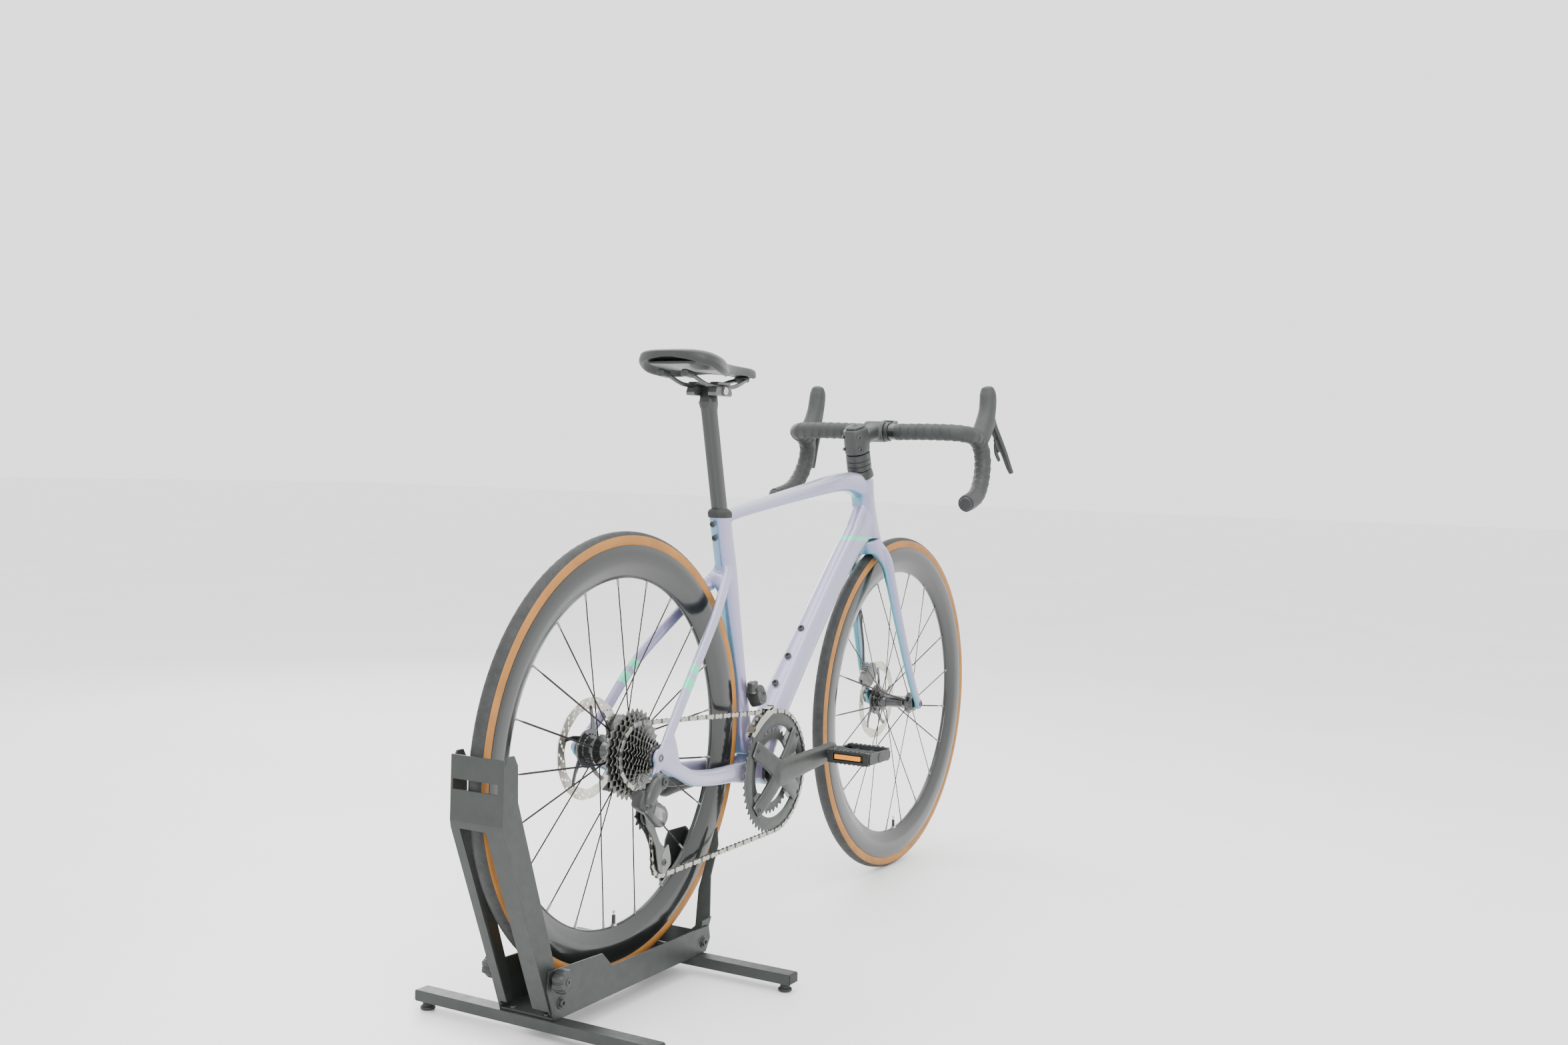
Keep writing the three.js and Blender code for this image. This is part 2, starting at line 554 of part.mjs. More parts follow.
function buildSeat() {
  add(root, 'seatpost', column([
    ...postSections(SEAT_Z - SEATPOST_INSERTED, POST_TOP_Z - 12), post(POST_TOP_Z, 14, 16),
  ]), CARBON);

  const headX = seatX(POST_TOP_Z);
  const railZ = POST_TOP_Z + 26;
  add(root, 'saddle_clamp', join(
    box(headX - 24, headX + 28, -26, 26, POST_TOP_Z + 8, railZ - RAIL_RADIUS - 1),
    box(headX - 12, headX + 14, -13, 13, POST_TOP_Z + GAP, POST_TOP_Z + 10),
  ), DARK_METAL);

  const tail = headX + SADDLE_SETBACK - SADDLE_LENGTH * 0.75;
  const along = (share) => tail + share * SADDLE_LENGTH;
  const top = POST_TOP_Z + SADDLE_RISE;
  const half = SADDLE_WIDTH / 2;
  const ring = (share, width, upper, lower) => outline(1, 1, 2.6, 14).map(([a, b]) =>
    P(along(share), a * half * width, top + (upper + lower) / 2 + b * (upper - lower) / 2));
  add(root, 'saddle', skin([
    ring(0, 0.5, 12, -2), ring(0.05, 0.82, 16, -8), ring(0.16, 1, 15, -14), ring(0.3, 0.86, 10, -16),
    ring(0.5, 0.45, 5, -16), ring(0.7, 0.27, 3, -14), ring(0.92, 0.25, 1, -14), ring(1, 0.17, -3, -12),
  ]), BLACK_PLASTIC);

  const rail = (share, y, z) => [along(share), y, z];
  const under = top - 22;
  add(root, 'saddle_rails', bentTube([
    rail(0.12, 23, under), rail(0.28, 23, railZ + 3), rail(0.36, 22, railZ), rail(0.6, 22, railZ),
    rail(0.7, 20, railZ + 4), rail(0.86, 10, under - 1), rail(0.89, 0, under), rail(0.86, -10, under - 1),
    rail(0.7, -20, railZ + 4), rail(0.6, -22, railZ), rail(0.36, -22, railZ), rail(0.28, -23, railZ + 3),
    rail(0.12, -23, under),
  ], RAIL_RADIUS, 32, 8), SILVER);
}

// ------------------------------------------------------------ fork and cockpit

function buildFork() {
  const blade = [
    { at: [steerX(668) + 5, -17, 662], side: 12, up: 18 },
    { at: [857, -34, 636], side: 8, up: 19 },
    { at: [870, -41, 590], side: 7, up: 17 },
    { at: [903, -48, 500], side: 6.5, up: 14 },
    { at: [952, -54, 392], side: 6, up: 11 },
    { at: [FRONT_AXLE_X - 4, -56, FRONT_AXLE_Z + 4], side: 5.5, up: 9 },
  ];
  const parts = [
    cut(column(crownSections), slab(-GAP - 0.1, 40, HEAD_LOW_Z)),
    tube(blade), tube(mirrored(blade)),
    steererPart(670, 892, STEERER_RADIUS, 14),
    crossBar(11, -62, -FRONT_DROPOUT_HALF, FRONT_AXLE_X, FRONT_AXLE_Z),
    crossBar(11, FRONT_DROPOUT_HALF, 62, FRONT_AXLE_X, FRONT_AXLE_Z),
  ];
  const axleHole = crossBar(AXLE_RADIUS + GAP, -90, 90, FRONT_AXLE_X, FRONT_AXLE_Z);
  add(root, 'fork', cut(join(...parts), axleHole,
    turned([[200, -17], [TYRE_RADIUS + 4, -17], [TYRE_RADIUS + 4, 17], [200, 17]], 30)
      .translate(FRONT_AXLE_X, 0, FRONT_AXLE_Z)), LILAC);
  add(root, 'front_axle', join(
    crossBar(AXLE_RADIUS, -62, 62, FRONT_AXLE_X, FRONT_AXLE_Z),
    crossBar(9, 62 + GAP, 66, FRONT_AXLE_X, FRONT_AXLE_Z),
    crossBar(AXLE_RADIUS, 60, 64, FRONT_AXLE_X, FRONT_AXLE_Z)), DARK_METAL);
  add(root, 'rear_axle', join(
    crossBar(AXLE_RADIUS, -79, 82, 0, REAR_AXLE_Z), crossBar(9, 79 + GAP, 84, 0, REAR_AXLE_Z)), DARK_METAL);
}

function buildCockpit() {
  const spacerTop = 51.2;
  add(root, 'headset_spacers', cut(onSteerer(join(
    column([oval(GAP + 0.2, 28.5, 24), oval(18, 26, 21)]), column([oval(15, 24, 19.5), oval(spacerTop, 24, 19.5)]),
  ), HEAD_HIGH_Z), steeringBore), BLACK_PLASTIC);

  const barX = steerX(880) + STEM_LENGTH;
  const barZ = 893;
  const clampHole = crossBar(BAR_RADIUS + 0.6, -60, 60, barX, barZ, 16);
  add(root, 'stem', cut(join(
    onSteerer(column([oval(spacerTop + GAP, 26, 20), oval(101.4, 25, 19)]), HEAD_HIGH_Z),
    tube([
      { at: [steerX(872) + 10, 0, 874], side: 18, up: 20, square: 3 },
      { at: [barX - 30, 0, barZ - 4], side: 16, up: 16, square: 3 },
      { at: [barX + 8, 0, barZ], side: 22, up: 19, square: 3 },
    ]), crossBar(20, -23, 23, barX, barZ)), clampHole, steeringBore,
  slab(0, spacerTop + GAP, HEAD_HIGH_Z, 32)), DARK_METAL);

  const half = BAR_HALF_WIDTH;
  const side = [
    [0, 45, 0], [0, 110, 1], [2, half - 26, 0], [14, half - 8, -2], [34, half, -5], [60, half + 1, -14],
    [76, half + 3, -34], [76, half + 6, -62], [58, half + 10, -96], [26, half + 14, -122], [-26, half + 17, -136],
  ];
  const path = [
    ...side.slice().reverse().map(([x, y, z]) => [barX + x, y, barZ + z]),
    [barX, 0, barZ],
    ...side.map(([x, y, z]) => [barX + x, -y, barZ + z]),
  ];
  add(root, 'handlebar', bentTube(path, BAR_RADIUS, BAR_STEPS, 8), RUBBER);

  for (const [hand, sign] of [['left', 1], ['right', -1]]) {
    const spot = (x, y, z) => [barX + x, sign * (half + y), barZ + z];
    const clearBar = bentTube(path, BAR_RADIUS + GAP, BAR_STEPS, 8);
    const hood = cut(tube([
      { at: spot(68, 0, -6), side: 14, up: 15 }, { at: spot(82, 0, 6), side: 15, up: 18 },
      { at: spot(98, 0, 30), side: 14, up: 17 }, { at: spot(104, 0, 58), side: 13.5, up: 15 },
      { at: spot(106, 0, HOOD_RISE), side: 11, up: 10 },
    ], 0, 12), clearBar);
    add(root, `brake_hood_${hand}`, hood, RUBBER);
    add(root, `brake_lever_${hand}`, tube([
      { at: spot(125, 6, 16), side: 7, up: 5 }, { at: spot(134, 12, -4), side: 7.5, up: 5 },
      { at: spot(146, 22, -34), side: 6.5, up: 4.5 }, { at: spot(156, 31, -68), side: 5, up: 4 },
    ], 0, 10), DARK_METAL);
    add(root, `shift_buttons_${hand}`, tube([
      { at: spot(117, 9, 0), side: 4.5, up: 4 }, { at: spot(131, 17, -34), side: 4, up: 3.5 },
    ], 0, 8), BLACK_PLASTIC);
  }
}

// -------------------------------------------------------------------- brakes

function buildBrakes() {
  // Each calliper straddles its rotor at an angle round the axle, its slot open towards the axle.
  const calliper = (name, rotorY, inner, outer, axleX, axleZ, angle, length) => {
    const group = place(root, axleX, 0, axleZ);
    group.rotation.y = -rad(angle);
    const inside = ROTOR_RADIUS - 22;
    add(group, name, cut(box(inside, ROTOR_RADIUS + 10, inner, outer, -length, length),
      box(inside - 5, ROTOR_RADIUS + 3, rotorY - 2, rotorY + 2, -length - 5, length + 5)), DARK_METAL);
  };
  calliper('front_brake_calliper', FRONT_ROTOR_Y, 27, 44.5, FRONT_AXLE_X, FRONT_AXLE_Z, 132, 27);
  calliper('rear_brake_calliper', REAR_ROTOR_Y, 45, 63, 0, REAR_AXLE_Z, 19, 20);

  add(root, 'front_brake_hose', bentTube([
    [890, 36, 532], [894, 34, 500], [905, 34, 462], [910, 35, 430], [908, 36, 414],
  ], 2.4, 12, 8), RUBBER);
}

// ---------------------------------------------------------------- drivetrain

function buildCassette() {
  const cassette = place(root, 0, 0, REAR_AXLE_Z);
  const steps = [];
  const last = SPROCKET_TEETH.length - 1;
  SPROCKET_TEETH.forEach((teeth, index) => {
    const radius = index === ENGAGED ? pitchRadius(teeth) - CHAIN_HALF_HEIGHT - CHAIN_CLEARANCE : pitchRadius(teeth) + 1;
    const start = sprocketY(index) - SPROCKET_SPACING / 2 + (index === ENGAGED + 1 ? 1 : 0);
    const end = sprocketY(index) + SPROCKET_SPACING / 2 + (index === ENGAGED ? 1 : 0);
    steps.push([radius, start], [radius, index === last ? end - 0.6 : end]);
  });
  const bore = AXLE_RADIUS + GAP;
  add(cassette, 'cassette', turned([
    [bore, -70.5], [13, -70.5], [13, sprocketY(0) - SPROCKET_SPACING / 2], ...steps,
    [bore, sprocketY(last) + SPROCKET_SPACING / 2 - 0.6],
  ], 20), DARK_METAL);
}

function buildCranks() {
  const crank = place(root, BB_X, 0, BB_Z);
  crank.rotation.y = -rad(CRANK_ANGLE);
  const spider = [38, 142, 218, 322].map((angle) =>
    box(0, 92, -56, OUTER_RING_Y - 1.5 - GAP, -11, 11).rotateY(-rad(angle)));
  const arm = [
    { at: [-14, -60, 0], side: 9, up: 18, square: 3 }, { at: [40, -61, 0], side: 9, up: 19, square: 3 },
    { at: [110, -65, 0], side: 7.5, up: 15, square: 3 },
    { at: [CRANK_LENGTH + 13, -67, 0], side: 7, up: 13, square: 3 },
  ];
  const axleHole = (x, y0, y1) => crossBar(5 + GAP, y0, y1, x, 0, 12);
  add(crank, 'crank_right', cut(join(
    tube(arm), ...spider, crossBar(24, -64, -50, 0, 0), crossBar(SPINDLE_RADIUS, -55, 66, 0, 0),
  ), axleHole(CRANK_LENGTH, -90, -40)), DARK_METAL);
  const leftArm = arm.map((s) => ({ ...s, at: [-s.at[0], -s.at[1], 0] }));
  add(crank, 'crank_left', cut(join(tube(leftArm), crossBar(20, 50, 68, 0, 0)),
    crossBar(SPINDLE_RADIUS + GAP, 40, 66 + GAP, 0, 0), axleHole(-CRANK_LENGTH, 40, 90)), DARK_METAL);

  const outer = pitchRadius(OUTER_TEETH) - CHAIN_HALF_HEIGHT - CHAIN_CLEARANCE;
  const inner = pitchRadius(INNER_TEETH) + 1;
  const y = OUTER_RING_Y;
  add(crank, 'chainrings', turned([
    [56, y + 8.5], [inner, y + 8.5], [inner, y + 5.5], [80, y + 4], [80, y + 1.5], [outer, y + 1.5],
    [outer, y - 1.5], [78, y - 1.5], [76, y], [56, y + 4],
  ], 32), SILVER);

  for (const [hand, sign] of [['right', -1], ['left', 1]]) {
    const pedal = place(crank, -sign * CRANK_LENGTH, 0, 0);
    pedal.rotation.y = rad(CRANK_ANGLE);
    const [near, far] = [76, 170];
    const cage = cut(box(-46, 46, near + 4, far, -12, 12),
      box(-38, -10, near + 14, far - 9, -20, 20), box(10, 38, near + 14, far - 9, -20, 20));
    const body = join(cage, crossBar(5, 62, far - 10, 0, 0, 12), crossBar(9, near, near + 6, 0, 0, 12));
    if (sign < 0) body.rotateZ(Math.PI);
    add(pedal, `pedal_${hand}`, body, BLACK_PLASTIC);
  }
}

function buildDerailleurs() {
  const [gx, gz] = GUIDE_PULLEY;
  const [tx, tz] = TENSION_PULLEY;
  add(root, 'rear_derailleur_base', join(
    crossBar(11, -94, -79 - GAP, -14, REAR_AXLE_Z - 32),
    tube([{ at: [-14, -88, REAR_AXLE_Z - 34], side: 6, up: 9 }, { at: [-34, -88, REAR_AXLE_Z - 50], side: 6, up: 9 }]),
  ), DARK_METAL);
  add(root, 'rear_derailleur_link', join(
    tube([
      { at: [-36, -80, REAR_AXLE_Z - 66], side: 9, up: 11 }, { at: [-14, -72, REAR_AXLE_Z - 76], side: 10, up: 14 },
      { at: [gx - 2, -62, gz + 4], side: 9, up: 14 },
    ]), crossBar(15, -70, -50, gx, gz)), DARK_METAL);

  const half = CHAIN_HALF_WIDTH + 2;
  const cage = (y0, y1) => join(crossBar(15, y0, y1, gx, gz), crossBar(15, y0, y1, tx, tz),
    plate([[gx - 10, gz - 6], [gx + 10, gz + 6], [tx + 8, tz + 5], [tx - 8, tz - 5]], y0, y1));
  add(root, 'rear_derailleur_cage', join(
    cage(CHAIN_Y - half - 3, CHAIN_Y - half), cage(CHAIN_Y + half, CHAIN_Y + half + 2.5),
    crossBar(4, CHAIN_Y - half - 3, CHAIN_Y + half + 2.5, gx, gz, 12),
    crossBar(4, CHAIN_Y - half - 3, CHAIN_Y + half + 2.5, tx, tz, 12)), DARK_METAL);
  const pulleyRadius = pitchRadius(PULLEY_TEETH) - CHAIN_HALF_HEIGHT - CHAIN_CLEARANCE;
  const pulley = () => turned([[4 + GAP, -3], [8, -3], [pulleyRadius, -1.5], [pulleyRadius, 1.5],
    [8, 3], [4 + GAP, 3]], 16);
  add(place(root, gx, CHAIN_Y, gz), 'guide_pulley', pulley(), BLACK_PLASTIC);
  add(place(root, tx, CHAIN_Y, tz), 'tension_pulley', pulley(), BLACK_PLASTIC);

  add(root, 'front_derailleur_body', box(346, 386, -44, -19, 409, 450), DARK_METAL);
  const guide = place(root, BB_X, 0, BB_Z);
  const arc = (inner, outer, y0, y1, sweep) => {
    const steps = Math.ceil(sweep / 7);
    const angles = Array.from({ length: steps + 1 }, (_, i) => rad(96 + sweep * i / steps));
    const points = [
      ...angles.map((a) => [outer * Math.cos(a), outer * Math.sin(a)]),
      ...angles.reverse().map((a) => [inner * Math.cos(a), inner * Math.sin(a)]),
    ];
    return plate(points, y0, y1);
  };
  const y = OUTER_RING_Y;
  add(guide, 'front_derailleur_cage', join(arc(101, 121, y - 6, y - 4.5, 46),
    arc(97, 121, y + 6.2, y + 7.7, 46), arc(118, 121, y - 5, y + 7, 9)), SILVER);
}

// Chain: a band around the outer ring, the engaged sprocket and both pulleys.
function buildChain() {
  const wheels = [
    { x: BB_X, z: BB_Z, y: OUTER_RING_Y, r: pitchRadius(OUTER_TEETH), turn: -1 },
    { x: TENSION_PULLEY[0], z: TENSION_PULLEY[1], y: CHAIN_Y, r: pitchRadius(PULLEY_TEETH), turn: -1 },
    { x: GUIDE_PULLEY[0], z: GUIDE_PULLEY[1], y: CHAIN_Y, r: pitchRadius(PULLEY_TEETH), turn: 1 },
    { x: 0, z: REAR_AXLE_Z, y: CHAIN_Y, r: pitchRadius(SPROCKET_TEETH[ENGAGED]), turn: -1 },
  ];
  const heading = wheels.map((a, i) => {
    const b = wheels[(i + 1) % wheels.length];
    const reach = Math.hypot(b.x - a.x, b.z - a.z);
    return Math.atan2(b.z - a.z, b.x - a.x) - Math.asin((b.turn * b.r - a.turn * a.r) / reach);
  });
  const points = [];
  wheels.forEach((w, i) => {
    const from = heading[(i + wheels.length - 1) % wheels.length];
    let sweep = (heading[i] - from) * w.turn;
    sweep = w.turn * ((sweep % (2 * Math.PI) + 2 * Math.PI) % (2 * Math.PI));
    const steps = Math.ceil(Math.abs(sweep) / Math.min(rad(20), 14 / w.r));
    for (let k = 0; k <= steps; k += 1) {
      const angle = from + sweep * k / steps;
      points.push({
        at: P(w.x + w.turn * w.r * Math.sin(angle), w.y, w.z - w.turn * w.r * Math.cos(angle)),
        normal: P(-Math.sin(angle), 0, Math.cos(angle)),
      });
    }
  });
  const rings = points.map(({ at, normal }) => [[1, 1], [1, -1], [-1, -1], [-1, 1]].map(([a, b]) =>
    at.clone().addScaledVector(normal, a * CHAIN_HALF_HEIGHT).add(P(0, b * CHAIN_HALF_WIDTH, 0))));
  add(root, 'chain', skin(rings, true), SILVER);
}

// ------------------------------------------------------------------- assembly

buildStand();
buildRearArm();
buildFrontArm();
buildKnobs();
buildWheel(rearWheel, 'rear', {
  right: -22.5, left: REAR_DROPOUT_HALF - 1, rightFlange: -16, leftFlange: 33, flangeRadius: 24, endRadius: 16,
  rotorY: REAR_ROTOR_Y, rightLoaded: true, turn: -0.9,
});
buildWheel(frontWheel, 'front', {
  right: -FRONT_DROPOUT_HALF + 1, left: FRONT_DROPOUT_HALF - 1, rightFlange: -36, leftFlange: 24,
  flangeRadius: 22, endRadius: 16, rotorY: FRONT_ROTOR_Y, rightLoaded: false, turn: 0,
});
buildFrame();
buildSeat();
buildFork();
buildCockpit();
buildBrakes();
buildCassette();
buildCranks();
buildDerailleurs();
buildChain();

// The origin is at the middle of the object's box, on the floor.
root.updateMatrixWorld(true);
const bounds = new THREE.Box3().setFromObject(root, true);
root.position.set(-(bounds.min.x + bounds.max.x) / 2, -(bounds.min.y + bounds.max.y) / 2, -bounds.min.z);
const group = new THREE.Group();
group.add(root);

export default group;
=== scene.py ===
"""Looks of a road bicycle held in a folding display stand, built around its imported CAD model.

Lengths are millimetres in the bicycle's own layout: X forward, Y to the rider's left, Z up, with
the origin on the floor under the rear axle. at() turns them into the frame's metres.
"""
import math

import bpy
import bmesh
from mathutils import Matrix, Vector


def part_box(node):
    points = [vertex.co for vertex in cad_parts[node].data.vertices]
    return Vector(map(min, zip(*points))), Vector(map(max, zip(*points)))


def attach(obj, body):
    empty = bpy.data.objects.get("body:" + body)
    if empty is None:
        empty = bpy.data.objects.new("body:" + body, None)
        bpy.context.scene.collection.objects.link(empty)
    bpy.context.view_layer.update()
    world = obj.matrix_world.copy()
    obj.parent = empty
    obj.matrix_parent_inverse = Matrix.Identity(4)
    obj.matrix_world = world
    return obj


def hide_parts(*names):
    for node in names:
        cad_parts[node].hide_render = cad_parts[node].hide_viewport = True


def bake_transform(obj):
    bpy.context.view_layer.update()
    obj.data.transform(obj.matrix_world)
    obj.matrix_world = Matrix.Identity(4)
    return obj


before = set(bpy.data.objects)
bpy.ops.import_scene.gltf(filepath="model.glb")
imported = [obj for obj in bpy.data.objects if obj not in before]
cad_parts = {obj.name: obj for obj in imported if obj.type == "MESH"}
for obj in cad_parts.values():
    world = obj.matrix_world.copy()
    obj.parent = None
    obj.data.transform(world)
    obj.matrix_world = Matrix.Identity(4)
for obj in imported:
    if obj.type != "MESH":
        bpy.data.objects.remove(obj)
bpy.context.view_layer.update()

TURN = 2 * math.pi

# ---------------------------------------------------------------- dimensions
TYRE_R, TYRE_HALF = 339.5, 14.0
RIM_EDGE_R, RIM_DEPTH, RIM_HALF = 317.0, 50.0, 13.2
SPOKES = 21
REAR_AXLE = (0.0, 369.5)
FRONT_AXLE = (986.5, 339.5)
BB = (408.0, 285.0)
HEAD_ANGLE, STEER_X, STEER_Z = math.radians(73), 797.0, 809.0
SEAT_ANGLE, SEAT_X, SEAT_Z = math.radians(75.7), 276.0, 738.0
POST_TOP_Z = SEAT_Z + 180
PITCH = 12.7
SPROCKETS = [11, 12, 13, 14, 15, 17, 19, 21, 24, 27, 30, 34]
ENGAGED = 8
SPROCKET_GAP, SMALL_SPROCKET_Y = 3.73, -66.5
OUTER_TEETH, INNER_TEETH, PULLEY_TEETH = 52, 36, 11
CRANK_LENGTH, CRANK_ANGLE = 172.5, math.radians(4.6)
RING_Y = -46.5
GUIDE, TENSION = (20.0, 276.0), (70.0, 192.0)
STEM_LENGTH, BAR_HALF = 88.0, 193.0
STAND_Y = -13.0
FRONT_ROTOR_Y, REAR_ROTOR_Y = 39.5, 55.5
HEAD_LOW_Z, HEAD_HIGH_Z = 681, 800

low, high = (Vector(corner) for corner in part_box("rear_rim"))
ORIGIN = (low + high) / 2 - Vector((REAR_AXLE[0], 0, REAR_AXLE[1])) / 1000


def at(x, y, z):
    """A point of the layout in the frame's metres."""
    return Vector((x, y, z)) / 1000 + ORIGIN


def steer_x(z):
    """X of the steering axis at a height."""
    return STEER_X + (STEER_Z - z) / math.tan(HEAD_ANGLE)


def seat_x(z):
    """X of the seat tube's axis at a height."""
    return SEAT_X - (z - SEAT_Z) / math.tan(SEAT_ANGLE)


def pitch_radius(teeth):
    return teeth * PITCH / TURN


def sprocket_y(index):
    return SMALL_SPROCKET_Y + index * SPROCKET_GAP


def box_corners(node):
    """The low and high corner of a CAD node, in the layout's millimetres."""
    return [(Vector(corner) - ORIGIN) * 1000 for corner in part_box(node)]


CHAIN_Y = sprocket_y(ENGAGED)
BAR_X, BAR_Z = steer_x(880) + STEM_LENGTH, 893.0


# ------------------------------------------------------------------ geometry
def full_turn(count):
    return [TURN * k / count for k in range(count)]


def around(x, z, radius, angle, y=0.0):
    """A point on a circle square to Y with its middle at (x, z)."""
    return Vector((x + radius * math.cos(angle), y, z + radius * math.sin(angle)))


def turned(outline, angle):
    """[along, across] points turned about the origin."""
    c, s = math.cos(angle), math.sin(angle)
    return [(r * c - w * s, r * s + w * c) for r, w in outline]


class Shape:
    """Collects closed bodies in millimetres, each with a material index."""

    def __init__(self):
        self.verts, self.faces, self.marks = [], [], []

    def rings(self, rings, closed=False, mark=0):
        """Joins equal rings of points, with a flat end on the first and last unless they close up."""
        count, base = len(rings[0]), len(self.verts)
        for ring in rings:
            self.verts.extend(Vector(p) for p in ring)
        spans = len(rings) if closed else len(rings) - 1
        for r in range(spans):
            here, there = base + r * count, base + (r + 1) % len(rings) * count
            for i in range(count):
                j = (i + 1) % count
                self.faces.append((here + i, here + j, there + j, there + i))
        if not closed:
            self.faces.append(tuple(base + i for i in reversed(range(count))))
            self.faces.append(tuple(base + (len(rings) - 1) * count + i for i in range(count)))
        self.marks += [mark] * (len(self.faces) - len(self.marks))
        return self

    def tube(self, stations, count=28, share=0.45, across=(0, 1, 0), steps=6):
        """A tube with domed ends along stations, as in tube_rings."""
        return self.rings(round_ends(tube_rings(stations, count, steps, across), share))

    def lathe(self, profile, x=0, z=0, segments=48, marks=None):
        """Turns a closed [radius, y] outline about the Y axis through (x, z), with a mark for each edge."""
        self.rings([[around(x, z, r, angle, y) for r, y in profile] for angle in full_turn(segments)],
                   closed=True)
        if marks:
            self.marks[-segments * len(profile):] = marks * segments
        return self

    def plate(self, outline, y0, y1):
        """A flat plate between two Y values, outlined by [x, z] points."""
        return self.rings([[(x, y, z) for x, z in outline] for y in (y0, y1)])

    def rod(self, start, end, radius, sides=10, end_radius=None, mark=0):
        """A straight round rod, or a cone where end_radius is given."""
        start, end = Vector(start), Vector(end)
        along = (end - start).normalized()
        side = along.orthogonal().normalized()
        other = along.cross(side)
        far = radius if end_radius is None else end_radius
        return self.rings([[p + (side * math.cos(a) + other * math.sin(a)) * r for a in full_turn(sides)]
                           for p, r in ((start, radius), (end, far))], mark=mark)

    def add(self, other, matrix=Matrix(), mark=None):
        base = len(self.verts)
        self.verts += [matrix @ v for v in other.verts]
        self.faces += [tuple(base + i for i in face) for face in other.faces]
        self.marks += other.marks if mark is None else [mark] * len(other.faces)
        return self

    def bolt(self, centre, axis, radius, height):
        """A round cap screw with a hexagonal socket, standing out along axis."""
        axis = Vector(axis).normalized()
        side = axis.orthogonal().normalized()
        other = axis.cross(side)
        steps = [(radius, 0, 0), (radius, height * 0.75, 0), (radius * 0.86, height, 0),
                 (radius * 0.5, height, 1), (radius * 0.5, height * 0.45, 1), (0.05, height * 0.45, 1)]
        rings = []
        for r, h, hexagon in steps:
            ring = []
            for a in full_turn(24):
                scale = math.cos(math.pi / 6) / math.cos((a % (math.pi / 3)) - math.pi / 6) if hexagon else 1
                ring.append(Vector(centre) + (side * math.cos(a) + other * math.sin(a)) * r * scale
                            + axis * h)
            rings.append(ring)
        return self.rings(rings)

    def mesh(self, name, materials=()):
        """The bodies as one mesh in metres, with every face turned outwards."""
        mesh = bpy.data.meshes.new(name)
        mesh.from_pydata([v / 1000 + ORIGIN for v in self.verts], [], self.faces)
        for material in materials:
            mesh.materials.append(material)
        for polygon, mark in zip(mesh.polygons, self.marks):
            polygon.material_index = mark
        sheet = bmesh.new()
        sheet.from_mesh(mesh)
        bmesh.ops.recalc_face_normals(sheet, faces=sheet.faces)
        sheet.to_mesh(mesh)
        sheet.free()
        return mesh

    def build(self, name, body, materials, replaces=(), slot=None, **finish):
        """Adds the bodies as one piece; the slot passed on is its first material's usual one unless it says
        another.
        """
        slot = slot or SLOTS[materials[0].name]
        return finish_piece(name, self.mesh(name, materials), body, slot, replaces, **finish)


def finish_piece(name, mesh, body, slot, replaces, smooth_angle=35, bevel=0.0, subdivide=0, remesh=0.0,
                 relax=0):
    """Adds a mesh as one piece: its edges, the body it rides and the nodes it replaces; the slot is not used.
    """
    piece = bpy.data.objects.new(name, mesh)
    bpy.context.scene.collection.objects.link(piece)
    mesh.shade_smooth()
    if remesh:
        grid = piece.modifiers.new("grid", "REMESH")
        grid.mode, grid.voxel_size, grid.use_smooth_shade = "VOXEL", remesh / 1000, True
        soften = piece.modifiers.new("soften", "SMOOTH")
        soften.factor, soften.iterations = 0.5, relax
    else:
        mesh.set_sharp_from_angle(angle=math.radians(smooth_angle))
    if bevel:
        edge = piece.modifiers.new("edge", "BEVEL")
        edge.width, edge.segments, edge.limit_method = bevel / 1000, 2, "ANGLE"
        edge.angle_limit, edge.harden_normals = math.radians(32), True
    if subdivide:
        finer = piece.modifiers.new("finer", "SUBSURF")
        finer.levels = finer.render_levels = subdivide
    if body:
        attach(piece, body)
    if replaces:
        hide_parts(*replaces)
    return piece


def restyle(name, node, body, slot, materials, bevel=0.8):
    """A copy of a CAD node's own shape with softened edges."""
    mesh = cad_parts[node].data.copy()
    mesh.name = name
    sheet = bmesh.new()
    sheet.from_mesh(mesh)
    bmesh.ops.remove_doubles(sheet, verts=sheet.verts, dist=1e-5)
    bmesh.ops.dissolve_limit(sheet, angle_limit=math.radians(1), verts=sheet.verts, edges=sheet.edges)
    sheet.to_mesh(mesh)
    sheet.free()
    mesh.materials.clear()
    for material in materials:
        mesh.materials.append(material)
    mesh.polygons.foreach_set("material_index", [0] * len(mesh.polygons))
    return finish_piece(name, mesh, body, slot, (node,), 30, bevel)


def rounded(half_a, half_b, exponent, count):
    """Points of a rounded box outline: exponent 2 is an ellipse and higher is squarer."""
    points = []
    for i in range(count):
        angle = TURN * (i + 0.5) / count
        points.append(tuple(half * math.copysign(abs(value) ** (2 / exponent), value)
                            for half, value in ((half_a, math.cos(angle)), (half_b, math.sin(angle)))))
    return points


def curve_through(rows, steps):
    """Catmull-Rom samples through rows of numbers, steps to each span."""
    out = []
    for i in range(len(rows) - 1):
        a, b, c, d = (rows[max(0, min(len(rows) - 1, i + k))] for k in (-1, 0, 1, 2))
        for s in range(steps):
            t = s / steps
            out.append([0.5 * (2 * q + (r - p) * t + (2 * p - 5 * q + 4 * r - w) * t * t
                               + (3 * q - p - 3 * r + w) * t ** 3) for p, q, r, w in zip(a, b, c, d)])
    out.append(list(rows[-1]))
    return out


